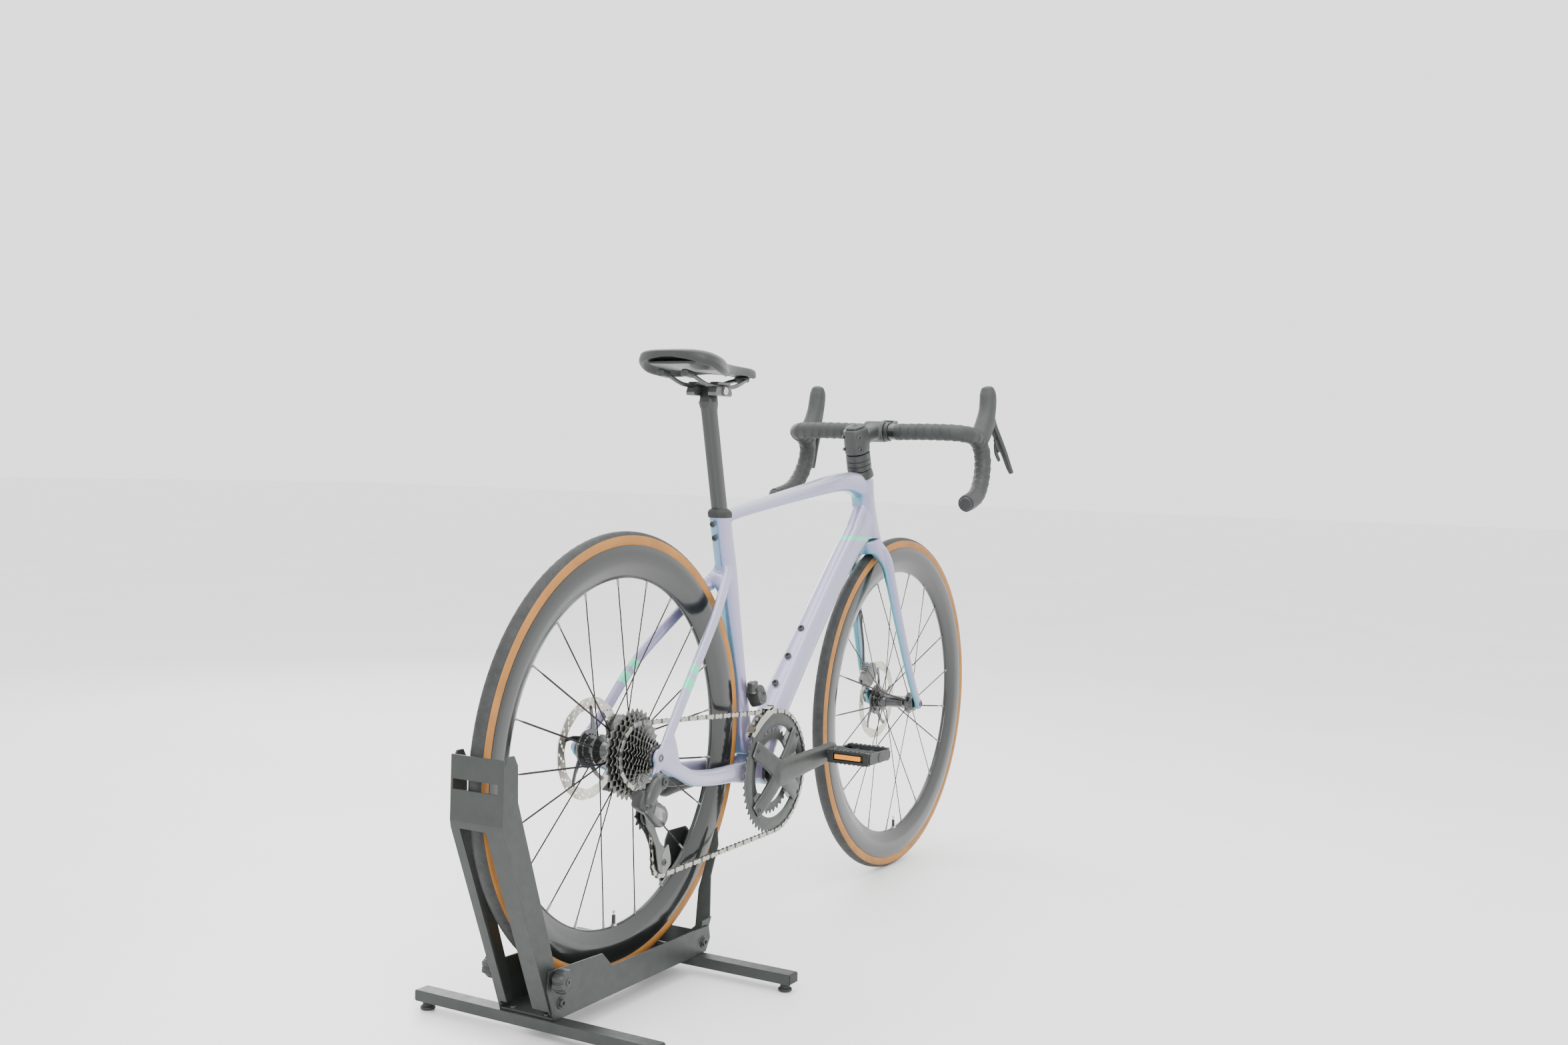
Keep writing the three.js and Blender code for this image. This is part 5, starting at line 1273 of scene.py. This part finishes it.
def build_front_derailleur():
    """Body on the seat tube and its two curved cage plates."""
    body = Shape()
    body.tube([(366, -20, 414, 10, 15, 3.6), (366, -28, 418, 12, 17, 3.6), (366, -38, 424, 12, 17, 3.6),
               (366, -43, 426, 9, 13, 3.6)], 30, 0.25, across=(1, 0, 0))
    body.tube([(352, -30, 428, 8, 10, 3.2), (350, -31, 444, 8, 9, 3.2)], 24, 0.3)
    body.tube([(372, -12, 436, 5, 9, 3.2), (370, -22, 432, 6, 9, 3.2)], 20, 0.2, across=(1, 0, 0))
    body.build("front_mech_body", "bicycle", [CRANK_GREY], ("front_derailleur_body",), bevel=0.3)
    screws = Shape()
    for spot, axis, r in (((371, -25, 442), (0, -0.3, 1), 4.0), ((366, -45, 426), (0, -1, 0.1), 3.2),
                          ((352, -40, 432), (0, -1, 0), 2.4)):
        screws.bolt(spot, axis, r, 2.4)
    screws.build("front_mech_screws", "bicycle", [ANODISED], bevel=0.1)
    cage = Shape()

    def arc(inner, outer, y0, y1, start, sweep):
        steps = 22
        rings = []
        for k in range(steps + 1):
            a = math.radians(start + sweep * k / steps)
            ease = math.sin(math.pi * k / steps) ** 0.5 if 0 < k < steps else 0.0
            low_r = inner + (1 - ease) * 5
            rings.append([around(*BB, r, a, y)
                          for r, y in ((low_r, y0), (outer, y0), (outer, y1), (low_r, y1))])
        return rings
    cage.rings(arc(104, 118, RING_Y - 6, RING_Y - 4.6, 98, 42))
    cage.rings(arc(99, 118, RING_Y + 6.3, RING_Y + 7.7, 98, 42))
    cage.rings(arc(114.5, 118.2, RING_Y - 6, RING_Y + 7.7, 99, 9))
    cage.rings(arc(114.5, 118.2, RING_Y - 6, RING_Y + 7.7, 132, 6))
    cage.build("front_mech_plates", "front_mech_cage", [CHAIN_STEEL], ("front_derailleur_cage",), bevel=0.4,
               slot="rotor_steel")


# ------------------------------------------------------------------- cockpit
def smooth_path(points, step):
    """Evenly spaced points on a smooth curve through the given ones."""
    dense = [Vector(p[:3]) for p in curve_through(points, 40)]
    lengths = [0.0]
    for a, b in zip(dense, dense[1:]):
        lengths.append(lengths[-1] + (b - a).length)
    count = max(2, int(lengths[-1] / step))
    out, i = [], 0
    for k in range(count + 1):
        want = lengths[-1] * k / count
        while i < len(dense) - 2 and lengths[i + 1] < want:
            i += 1
        share = (want - lengths[i]) / max(lengths[i + 1] - lengths[i], 1e-9)
        out.append(dense[i].lerp(dense[i + 1], min(share, 1)))
    return out


def sweep(points, radius_at, sides):
    """Rings along a path, turning as little as possible; radius_at(distance, angle)."""
    rings, distance = [], 0.0
    side = None
    for i, point in enumerate(points):
        along = (points[min(i + 1, len(points) - 1)] - points[max(i - 1, 0)]).normalized()
        side = (along.orthogonal() if side is None else side - along * side.dot(along)).normalized()
        other = along.cross(side)
        if i:
            distance += (point - points[i - 1]).length
        rings.append([point + (side * math.cos(a) + other * math.sin(a)) * radius_at(distance, a)
                      for a in full_turn(sides)])
    return rings


def bar_points(sign):
    """The middle line of one half of the drop bar, from the stem outwards."""
    rows = [(0, 30, 0), (0, 45, 0), (0, 110, 1), (2, BAR_HALF - 26, 0), (14, BAR_HALF - 8, -2),
            (34, BAR_HALF, -5), (60, BAR_HALF + 1, -14), (76, BAR_HALF + 3, -34), (76, BAR_HALF + 6, -62),
            (58, BAR_HALF + 10, -96), (26, BAR_HALF + 14, -122), (-27, BAR_HALF + 17, -136)]
    return [(BAR_X + x, sign * y, BAR_Z + z) for x, y, z in rows]


def build_bar():
    """Bare centre of the bar, wound tape with overlapping laps, and end plugs."""
    bare = Shape().lathe([(0.5, -62), (15.2, -62), (15.9, -40), (15.9, 40), (15.2, 62), (0.5, 62)], BAR_X,
                         BAR_Z, 56)
    bare.build("bar_centre", "steering", [CARBON], ("handlebar",), smooth_angle=50)
    tape, plugs = Shape(), Shape()
    for sign in (1, -1):
        path = smooth_path(bar_points(sign)[1:], 1.6)

        def wrap(distance, angle):
            phase = (distance / 17.0 + sign * angle / TURN) % 1.0
            lap = 1.5 * (1 - phase) if phase > 0.08 else 1.5 * phase / 0.08
            return 15.0 + lap + min(distance / 3.0, 1.0) * 0.5
        tape.rings(sweep(path, wrap, 40))
        end, before = path[-1], path[-3]
        out = (end - before).normalized()
        for start, reach, r0, r1 in ((0, 2.2, 15.8, 15.2), (2.2, 3.4, 13.5, 11.5)):
            plugs.rod(end + out * start, end + out * (start + reach), r0, 36, r1)
        # Finishing band where the tape begins beside the stem.
        head = path[0]
        plugs.lathe([(15.4, head.y - 0.5), (16.5, head.y), (16.7, head.y + sign * 6),
                     (16.5, head.y + sign * 12), (15.4, head.y + sign * 12.5)], BAR_X, BAR_Z, 48)
    tape.build("bar_tape_wrap", "steering", [TAPE], smooth_angle=60)
    plugs.build("bar_end_plugs", "steering", [PLASTIC], bevel=0.4)


def build_levers():
    """Hoods with ribbed sides, brake levers and pairs of shift paddles."""
    for hand, sign in (("left", 1), ("right", -1)):
        def spot(x, y, z, a, b, square=2.4):
            return (BAR_X + x, sign * (BAR_HALF + y), BAR_Z + z, a, b, square)
        hood = Shape()
        hood.tube([spot(64, 0, -12, 18.5, 18.5), spot(80, 0.5, 4, 18.5, 20.5), spot(94, 0.5, 24, 17.5, 20),
                   spot(103, 0.5, 46, 16.5, 18), spot(107, 0, 66, 16.5, 17), spot(107, -1, 82, 16, 14.5),
                   spot(105, -2, 92, 13, 10)], 34, 0.5)
        hood.tube([spot(78, 1, 6, 13, 10), spot(100, 2, 14, 12.5, 13), spot(116, 3, 22, 10.5, 12),
                   spot(124, 4, 26, 8.5, 9)], 28, 0.4)
        hood.build(f"hood_{hand}", "steering", [HOOD], (f"brake_hood_{hand}",),
                   remesh=1.8, relax=6)
        ribs = Shape()
        for k in range(7):
            z = 30 + k * 6
            ribs.tube([spot(89.5 + k * 1.1, 14.0 - k * 0.2, z, 1.3, 0.9),
                       spot(97 + k, 15.2 - k * 0.25, z + 3, 1.3, 0.9),
                       spot(104 + k * 0.8, 14.6 - k * 0.3, z + 1, 1.2, 0.9)], 8, steps=3)
        ribs.build(f"hood_ribs_{hand}", "steering", [HOOD])
        blade = Shape()
        blade.tube([spot(121, 3, 34, 7.5, 6, 2.6), spot(126, 6, 16, 8.5, 5.5, 2.6),
                    spot(134, 12, -4, 8.5, 5, 2.6), spot(146, 22, -34, 7, 4.4, 2.6),
                    spot(155, 30, -62, 6, 3.8, 2.6), spot(160, 34, -74, 5, 3.2, 2.6)], 28, 0.5)
        blade.build(f"lever_blade_{hand}", f"lever_{hand}", [SATIN_CARBON], (f"brake_lever_{hand}",),
                    bevel=0.2)
        pivot = Shape().rod(spot(112, -9, 40, 0, 0)[:3], spot(112, 12.6, 40, 0, 0)[:3], 3.2, 20)
        pivot.build(f"lever_pivot_{hand}", "steering", [ANODISED], bevel=0.3)
        paddle = Shape()
        for shift, reach, drop in ((0, 0, 0), (7.5, 2, -3)):
            paddle.tube([spot(121 + shift * 0.2, 12, -9 - shift * 1.2, 2.4, 4.2, 3),
                         spot(124, 14, -20 - shift * 1.6 + drop, 2.6, 5, 3),
                         spot(130 + reach, 18, -32 - shift * 2.4, 2.2, 4.4, 3)], 18, 0.5)
        paddle.rod(spot(120, 11, -10, 0, 0)[:3], spot(131, 12, -8, 0, 0)[:3], 2.4, 14)
        paddle.build(f"shift_paddle_{hand}", f"shifter_{hand}", [PLASTIC], (f"shift_buttons_{hand}",),
                     bevel=0.2)


def build_stem():
    """Headset cover, spacers, stem with its face plate, cap and computer mount."""
    top = 101.4
    spacers = Shape()
    spacers.rings(tilted([(0.5, 28.2, 23.8), (3, 28.6, 24), (13, 27.2, 22.4), (16.4, 25.2, 20.6),
                          (17.2, 23.5, 19)], 48, 2.5))
    low = 17.7
    for height in (9.6, 9.6, 13.2):
        spacers.rings(tilted([(low, 25.8, 20.3), (low + 0.7, 26.7, 21.2), (low + height - 0.9, 26.7, 21.2),
                              (low + height - 0.2, 25.8, 20.3)], 48, 2.5))
        low += height + 0.15
    stack = Shape().add(spacers, on_steerer(HEAD_HIGH_Z))
    stack.build("headset_stack", "steering", [PLASTIC], ("headset_spacers",))
    stem = Shape()
    clamp = Shape().rings(tilted([(51.5, 25.5, 19.6), (53, 27.4, 21), (62, 28, 21.6), (92, 27.2, 21),
                                  (99, 26.4, 20.4), (top, 24, 18)], 36, 2.6))
    stem.add(clamp, on_steerer(HEAD_HIGH_Z))
    stem.rings(tube_rings([(steer_x(870) + 8, 0, 874, 17.5, 19, 3),
                           (BAR_X - 44, 0, BAR_Z - 8, 15.5, 15.5, 3), (BAR_X - 24, 0, BAR_Z - 3, 16, 15, 3),
                           (BAR_X - 12, 0, BAR_Z - 1, 20, 17, 3)], 32))
    stem.lathe([(0.5, -22), (20.4, -22), (21, -21), (21, 21), (20.4, 22), (0.5, 22)], BAR_X, BAR_Z, 56)
    stem.build("stem_body", "steering", [STEM], ("stem",), remesh=1.8, relax=4)
    plate = Shape()
    outline = []
    for radius, sign in ((21.8, 1), (16.2, -1)):
        for k in range(15):
            a = math.radians(sign * (-66 + 132 * k / 14))
            outline.append((BAR_X + radius * math.cos(a), BAR_Z + radius * math.sin(a)))
    plate.plate(outline, -22.4, 22.4)
    plate.build("stem_faceplate", "steering", [STEM], bevel=0.7)
    screws = Shape()
    for y in (-15, 15):
        for z in (-15.2, 15.2):
            screws.bolt((BAR_X + 14.6, y, BAR_Z + z), (1, 0, 0), 3.9, 4.4)
    for height in (64, 88):
        for side in (-1, 1):
            middle = on_steerer(HEAD_HIGH_Z) @ Vector((-22, 0, height))
            screws.bolt((middle.x, side * 16.5, middle.z), (-0.3, side, -0.1), 3.3, 3.2)
    screws.build("stem_screws", "steering", [ANODISED], bevel=0.1)
    cap = Shape().rings(tilted([(top + 0.3, 21, 16.5), (top + 1, 22.4, 17.4), (top + 3.6, 21.4, 16.6),
                                (top + 4.6, 17, 13)], 44, 2.4))
    Shape().add(cap, on_steerer(HEAD_HIGH_Z)).build("stem_cap", "steering", [PLASTIC], bevel=0.2)
    centre = on_steerer(HEAD_HIGH_Z) @ Vector((0, 0, top + 4.2))
    cap_bolt = Shape().bolt(centre, (-0.292, 0, 0.956), 4.6, 1.6)
    cap_bolt.build("stem_cap_bolt", "steering", [ANODISED], bevel=0.1)
    # Computer mount reaching ahead of the clamp.
    mount = Shape()
    mount.tube([(BAR_X + 14, -27, BAR_Z + 13, 4, 3.2, 3), (BAR_X + 34, -26, BAR_Z + 19, 4, 3.2, 3),
                (BAR_X + 52, -16, BAR_Z + 21, 4, 3.2, 3), (BAR_X + 58, 0, BAR_Z + 21, 5, 3.2, 3)], 20)
    mount.lathe([(15.9, -31), (18.4, -31), (18.8, -29.6), (18.8, -24.4), (18.4, -23), (15.9, -23)], BAR_X,
                BAR_Z, 44)
    disc = Shape().rings(tilted([(0, 13, 13), (1, 15.5, 15.5), (5.5, 15.5, 15.5), (6.8, 14, 14)], 40, 2))
    mount.add(disc, Matrix.Translation((BAR_X + 62, 0, BAR_Z + 18)))
    mount.build("computer_mount", "steering", [PLASTIC], bevel=0.3)


# -------------------------------------------------------------------- saddle
def build_saddle():
    """Padded cover, thin shell, rails, seat post and its clamp."""
    head_x = seat_x(POST_TOP_Z)
    length, half = 264.0, 73.0
    tail = head_x + 70 - length * 0.75
    top = POST_TOP_Z + 62
    # share along, half width share, middle height, edge drop, skirt depth, channel depth
    rows = [(0.0, 0.34, 12, 4, 12, 0), (0.012, 0.56, 14, 6, 16, 0), (0.05, 0.82, 16, 11, 19, 0),
            (0.12, 0.97, 16, 17, 19, 1), (0.20, 1.0, 14, 22, 19, 2.5), (0.30, 0.90, 10.5, 22, 19, 4),
            (0.40, 0.68, 7, 18, 19, 4.6), (0.50, 0.47, 5, 12, 19, 4.4), (0.62, 0.34, 3.6, 7, 18, 3.8),
            (0.75, 0.27, 3, 6, 17, 2.2), (0.88, 0.25, 2, 6, 16, 0.4), (0.95, 0.225, 0.4, 7, 14, 0),
            (0.985, 0.16, -2.2, 6, 10, 0), (1.0, 0.07, -5, 3, 4, 0)]
    rings, shell = [], []
    for share, width, high, drop, skirt, channel in curve_through(rows, 4):
        x, w = tail + share * length, half * width
        ring = []
        for k in range(27):
            u = -1 + 2 * k / 26
            shoulder = abs(u) ** 3.2
            dip = channel * math.exp(-(u * w / 9.5) ** 2)
            ring.append(Vector((x, w * math.sin(u * math.pi / 2), top + high - drop * shoulder - dip)))
        edge = top + high - drop
        rim = 0.62 * skirt
        for u, down in ((1.02, 0.25), (1.015, 0.55), (0.985, 0.85), (0.94, 1.0), (0.89, 0.92)):
            ring.append(Vector((x, w * u, edge - rim * down)))
        for k in range(11):
            u = 0.80 - 1.60 * k / 10
            ring.append(Vector((x, w * u, top + high - drop * abs(u) ** 3.2 - 9.5 - channel * 0.5)))
        for u, down in ((0.89, 0.92), (0.94, 1.0), (0.985, 0.85), (1.015, 0.55), (1.02, 0.25)):
            ring.append(Vector((x, -w * u, edge - rim * down)))
        rings.append(ring)
    cover = Shape().rings(rings).build("saddle_cover", "saddle_body", [COVER], ("saddle",), smooth_angle=55,
                                       subdivide=1)
    shell_rows = [(0.07, 0.62), (0.16, 0.80), (0.3, 0.70), (0.45, 0.46), (0.6, 0.30), (0.8, 0.22),
                  (0.93, 0.18)]
    for share, width in curve_through(shell_rows, 4):
        x, w = tail + share * length, half * width
        high = top - 9 + (26 * (0.3 - share) if share < 0.3 else 0)
        shares = [math.sin(math.pi * (k / 12 - 0.5)) for k in range(13)]
        sag = [high - 3.0 - 1.2 * math.sin(math.pi * k / 12) for k in range(13)]
        shell.append([Vector((x, w * share, high)) for share in shares]
                     + [Vector((x, -w * share * 0.94, z)) for share, z in zip(shares, sag)])
    Shape().rings(shell).build("saddle_shell", "saddle_body", [SATIN_CARBON], smooth_angle=50)

    rail_z, under = POST_TOP_Z + 26, top - 20

    def rail(share, y, z):
        return (tail + share * length, y, z)
    rails = Shape()
    half_path = [rail(0.11, 22.5, under - 1), rail(0.15, 23, under - 3), rail(0.28, 23, rail_z + 3),
                 rail(0.36, 22, rail_z), rail(0.6, 22, rail_z), rail(0.7, 20, rail_z + 4),
                 rail(0.84, 12, under - 2), rail(0.885, 5, under), rail(0.89, 0, under)]
    path = half_path + [(x, -y, z) for x, y, z in reversed(half_path[:-1])]
    rails.rings(sweep(smooth_path(path, 4), lambda distance, angle: 3.5, 18))
    rails.build("saddle_rail_loop", "saddle_body", [RAIL], ("saddle_rails",), smooth_angle=60)
    sockets = Shape()
    for side in (-1, 1):
        sockets.tube([(tail + 0.07 * length, side * 22.5, under - 1, 7, 6, 3),
                      (tail + 0.15 * length, side * 23, under - 3, 6, 5.5, 3)], 20)
    sockets.tube([(tail + 0.86 * length, 0, under + 1, 12, 6, 3),
                  (tail + 0.93 * length, 0, under + 2, 8, 5, 3)], 20)
    sockets.build("saddle_rail_sockets", "saddle_body", [PLASTIC], bevel=0.3)

    post = Shape()
    rows = []
    for z, deep, wide in ((SEAT_Z - 92, 16, 11), (SEAT_Z, 16, 11), (POST_TOP_Z - 26, 16, 11),
                          (POST_TOP_Z - 10, 15.4, 13), (POST_TOP_Z, 14, 16)):
        rows.append((z, seat_x(z) - deep, seat_x(z) + deep, wide))
    post.rings(column_rings(rows, 40, 6, 2.6))
    post.build("post_shaft", "seat_post", [SATIN_CARBON], ("seatpost",), smooth_angle=50)
    clamp = Shape()
    for side in (-1, 1):
        y0, y1 = sorted((side * 13, side * 29))
        clamp.plate([(head_x - 22, POST_TOP_Z + 10), (head_x + 26, POST_TOP_Z + 10),
                     (head_x + 28, POST_TOP_Z + 15), (head_x + 24, rail_z - 2.2),
                     (head_x - 20, rail_z - 2.2), (head_x - 24, POST_TOP_Z + 15)], y0, y1)
        clamp.plate([(head_x - 20, rail_z + 1.8), (head_x + 24, rail_z + 1.8), (head_x + 20, rail_z + 6.5),
                     (head_x - 16, rail_z + 6.5)], y0, y1)
    clamp.lathe([(0.3, -31), (7.5, -31), (8, -30), (8, 30), (7.5, 31), (0.3, 31)], head_x + 2,
                POST_TOP_Z + 18, 32)
    clamp.rings(column_rings([(POST_TOP_Z - 2, head_x - 13, head_x + 15, 15),
                              (POST_TOP_Z + 8, head_x - 12, head_x + 14, 13.5),
                              (POST_TOP_Z + 20, head_x - 9, head_x + 11, 12.5)], 30))
    clamp.build("clamp_cheeks", "seat_post", [ANODISED], ("saddle_clamp",), bevel=0.9)
    screws = Shape()
    for side in (-1, 1):
        screws.bolt((head_x + 2, side * 30.4, POST_TOP_Z + 18), (0, side, 0), 6.2, 3.2)
    screws.rod((head_x + 2, -34, POST_TOP_Z + 18), (head_x + 2, 34, POST_TOP_Z + 18), 2.8, 18)
    screws.build("clamp_screws", "seat_post", [STEEL], bevel=0.2)


# -------------------------------------------------------------------- brakes
def build_calliper(name, body, node, rotor_y, inner, outer, axle, degrees, length):
    """A two-part calliper between two Y values, its pad tabs and fins, placed at an angle on its axle."""
    place = Matrix.Translation((axle[0], 0, axle[1])) @ turned_about_y(math.radians(degrees))
    halves = Shape()
    slot = 2.4
    for y0, y1 in ((inner, rotor_y - slot), (rotor_y + slot, outer + 1)):
        halves.plate([(60, -length + 3), (84, -length), (89, -length + 4), (91, -6), (91, 8),
                      (88, length - 4), (82, length), (62, length - 4), (58, 8), (58, -8)], y0, y1)
    halves.plate([(83.5, -length + 4), (90, -length + 8), (91.5, 0), (90, length - 8), (83.5, length - 4)],
                 inner + 1, outer)
    Shape().add(halves, place).build(name, body, [CRANK_GREY], (node,), bevel=1.6, slot="black_anodised")
    extras = Shape()
    for z in (-7, 7):
        extras.add(Shape().plate([(84, z - 0.7), (95, z - 0.7), (95, z + 0.7), (84, z + 0.7)],
                                 rotor_y - 1.9, rotor_y - 0.6), place)
    for k in range(5):
        z = -8 + k * 4
        extras.add(Shape().plate([(88, z - 0.7), (98 - abs(k - 2), z - 0.7), (98 - abs(k - 2), z + 0.7),
                                  (88, z + 0.7)], rotor_y - 5.4, rotor_y + 5.4), place)
    extras.add(Shape().lathe([(0.2, outer + 0.5), (10.5, outer + 0.5), (11.4, outer + 1.4),
                              (11.4, outer + 2), (9, outer + 2.8), (7, outer + 1.8), (0.2, outer + 1.8)],
                             73, 0, 40), place)
    for z in (-length + 6, length - 6):
        extras.add(Shape().bolt((76, outer + 0.9, z), (0, 1, 0), 4.0, 3.0), place)
    extras.build(f"{name}_fittings", body, [STEEL], bevel=0.15)


def build_brakes():
    """Both callipers and the run of hose at the fork."""
    build_calliper("front_calliper_body", "steering", "front_brake_calliper", FRONT_ROTOR_Y, 27, 44.5,
                   FRONT_AXLE, 132, 27)
    build_calliper("rear_calliper_body", "bicycle", "rear_brake_calliper", REAR_ROTOR_Y, 45, 63,
                   REAR_AXLE, 19, 20)
    hose = [(892, 40, 540), (893, 35, 520), (894, 34, 500), (905, 34, 462), (910, 35, 430), (908, 36, 410)]
    run = Shape().rings(sweep(smooth_path(hose, 3), lambda distance, angle: 2.4, 16))
    run.build("front_hose_run", "steering", [HOSE], ("front_brake_hose",), smooth_angle=60)
    fittings = Shape()
    fittings.rod((909, 35.4, 421), (908, 36, 408), 3.6, 6)
    fittings.rod((893, 36.5, 526), (894, 34.6, 506), 3.2, 16)
    fittings.build("front_hose_fittings", "steering", [ANODISED], bevel=0.3, slot="rail_metal")


# --------------------------------------------------------------------- stand
def build_stand():
    """Sheets of the stand with softened edges, feet, lobed knobs and bolts."""
    for node, body in (("stand_channel", "stand_base"), ("stand_rear_bar", "stand_base"),
                       ("stand_front_bar", "stand_base"), ("stand_rear_arm", "rear_arm"),
                       ("stand_front_arm", "front_arm")):
        restyle(f"{node}_sheet", node, body, "stand_powder_coat", [POWDER], 1.2)
    for where in ("rear_left", "rear_right", "front_left", "front_right"):
        a, b = box_corners(f"stand_foot_{where}")
        middle, radius, z0, z1 = (a + b) / 2, (b.x - a.x) / 2, a.z, b.z
        profile = [(radius - 1.4, z0), (radius, z0 + 1.4), (radius - 0.4, z0 + 4.4), (radius - 3, z0 + 5.4),
                   (radius - 3.4, z1 - 3), (radius - 2.4, z1 - 1.4), (radius - 2.4, z1)]
        foot = Shape().rings([[Vector((middle.x + r * math.cos(a), middle.y + r * math.sin(a), z))
                               for a in full_turn(40)] for r, z in profile])
        foot.build(f"foot_{where}", "stand_base", [RUBBER], (f"stand_foot_{where}",))
    for hand, sign in (("left", 1), ("right", -1)):
        a, b = box_corners(f"stand_knob_{hand}")
        x, z = (a.x + b.x) / 2, (a.z + b.z) / 2
        y0, y1 = (a.y, b.y)[::sign]
        rings = []
        for share, scale in ((0.16, 0.80), (0.24, 0.97), (0.34, 1.0), (0.72, 1.0), (0.9, 0.95),
                             (1.0, 0.82)):
            y = y0 + (y1 - y0) * share
            rings.append([around(x, z, scale * (16.2 + 2.0 * math.cos(7 * a) ** 3), a, y)
                          for a in full_turn(84)])
        knob = Shape().rings(rings)
        knob.lathe([(0.3, y0), (8.6, y0), (9, y0 + sign * 1), (9, y0 + sign * 5.4), (0.3, y0 + sign * 5.4)],
                   x, z, 36)
        knob.build(f"knob_{hand}", f"knob_{hand}", [PLASTIC], (f"stand_knob_{hand}",), bevel=0.5)
        screw = Shape().bolt((x, y1 - sign * 0.4, z), (0, sign, 0), 5.2, 1.6)
        screw.build(f"knob_bolt_{hand}", f"knob_{hand}", [ANODISED], bevel=0.15)
    bolts = Shape()
    channel_low, channel_high = box_corners("stand_channel")
    for side, y in ((-1, channel_low.y), (1, channel_high.y)):
        for x, z, r in ((164, 47, 6.4), (-211, 52, 6.0)):
            bolts.lathe([(0.2, y), (r + 2.8, y), (r + 3.2, y + side * 0.6), (r + 2.6, y + side * 1.3),
                         (0.2, y + side * 1.3)], x, z, 40)
            bolts.bolt((x, y + side * 1.2, z), (0, side, 0), r, 3.4)
    bolts.build("stand_pivot_bolts", "stand_base", [ANODISED], bevel=0.2)
    # Cap screws that hold the channel to the two floor bars, and end caps in the bars.
    screws = Shape()
    for node in ("stand_rear_bar", "stand_front_bar"):
        a, b = box_corners(node)
        x = (a.x + b.x) / 2
        for y in (STAND_Y - 30, STAND_Y + 30):
            screws.bolt((x, y, b.z + 3.2), (0, 0, 1), 5, 3)
    screws.build("stand_floor_screws", "stand_base", [ANODISED], bevel=0.2)
    caps = Shape()
    for node in ("stand_rear_bar", "stand_front_bar"):
        a, b = box_corners(node)
        for y, out in ((a.y, -1), (b.y, 1)):
            x0, x1, z0, z1 = a.x + 1, b.x - 1, a.z + 1, b.z - 1
            caps.rings([[Vector((x0 + s, yy, z0 + s)), Vector((x1 - s, yy, z0 + s)),
                         Vector((x1 - s, yy, z1 - s)), Vector((x0 + s, yy, z1 - s))]
                        for s, yy in ((0, y), (0, y + out * 1.4), (1.0, y + out * 2.2))])
    caps.build("stand_bar_caps", "stand_base", [RUBBER], bevel=0.5)


build_frame()
build_frame_fittings()
build_fork()
build_axles()
build_wheels()
build_chain()
build_cassette()
build_cranks()
build_rear_derailleur()
build_front_derailleur()
build_bar()
build_levers()
build_stem()
build_saddle()
build_brakes()
build_stand()
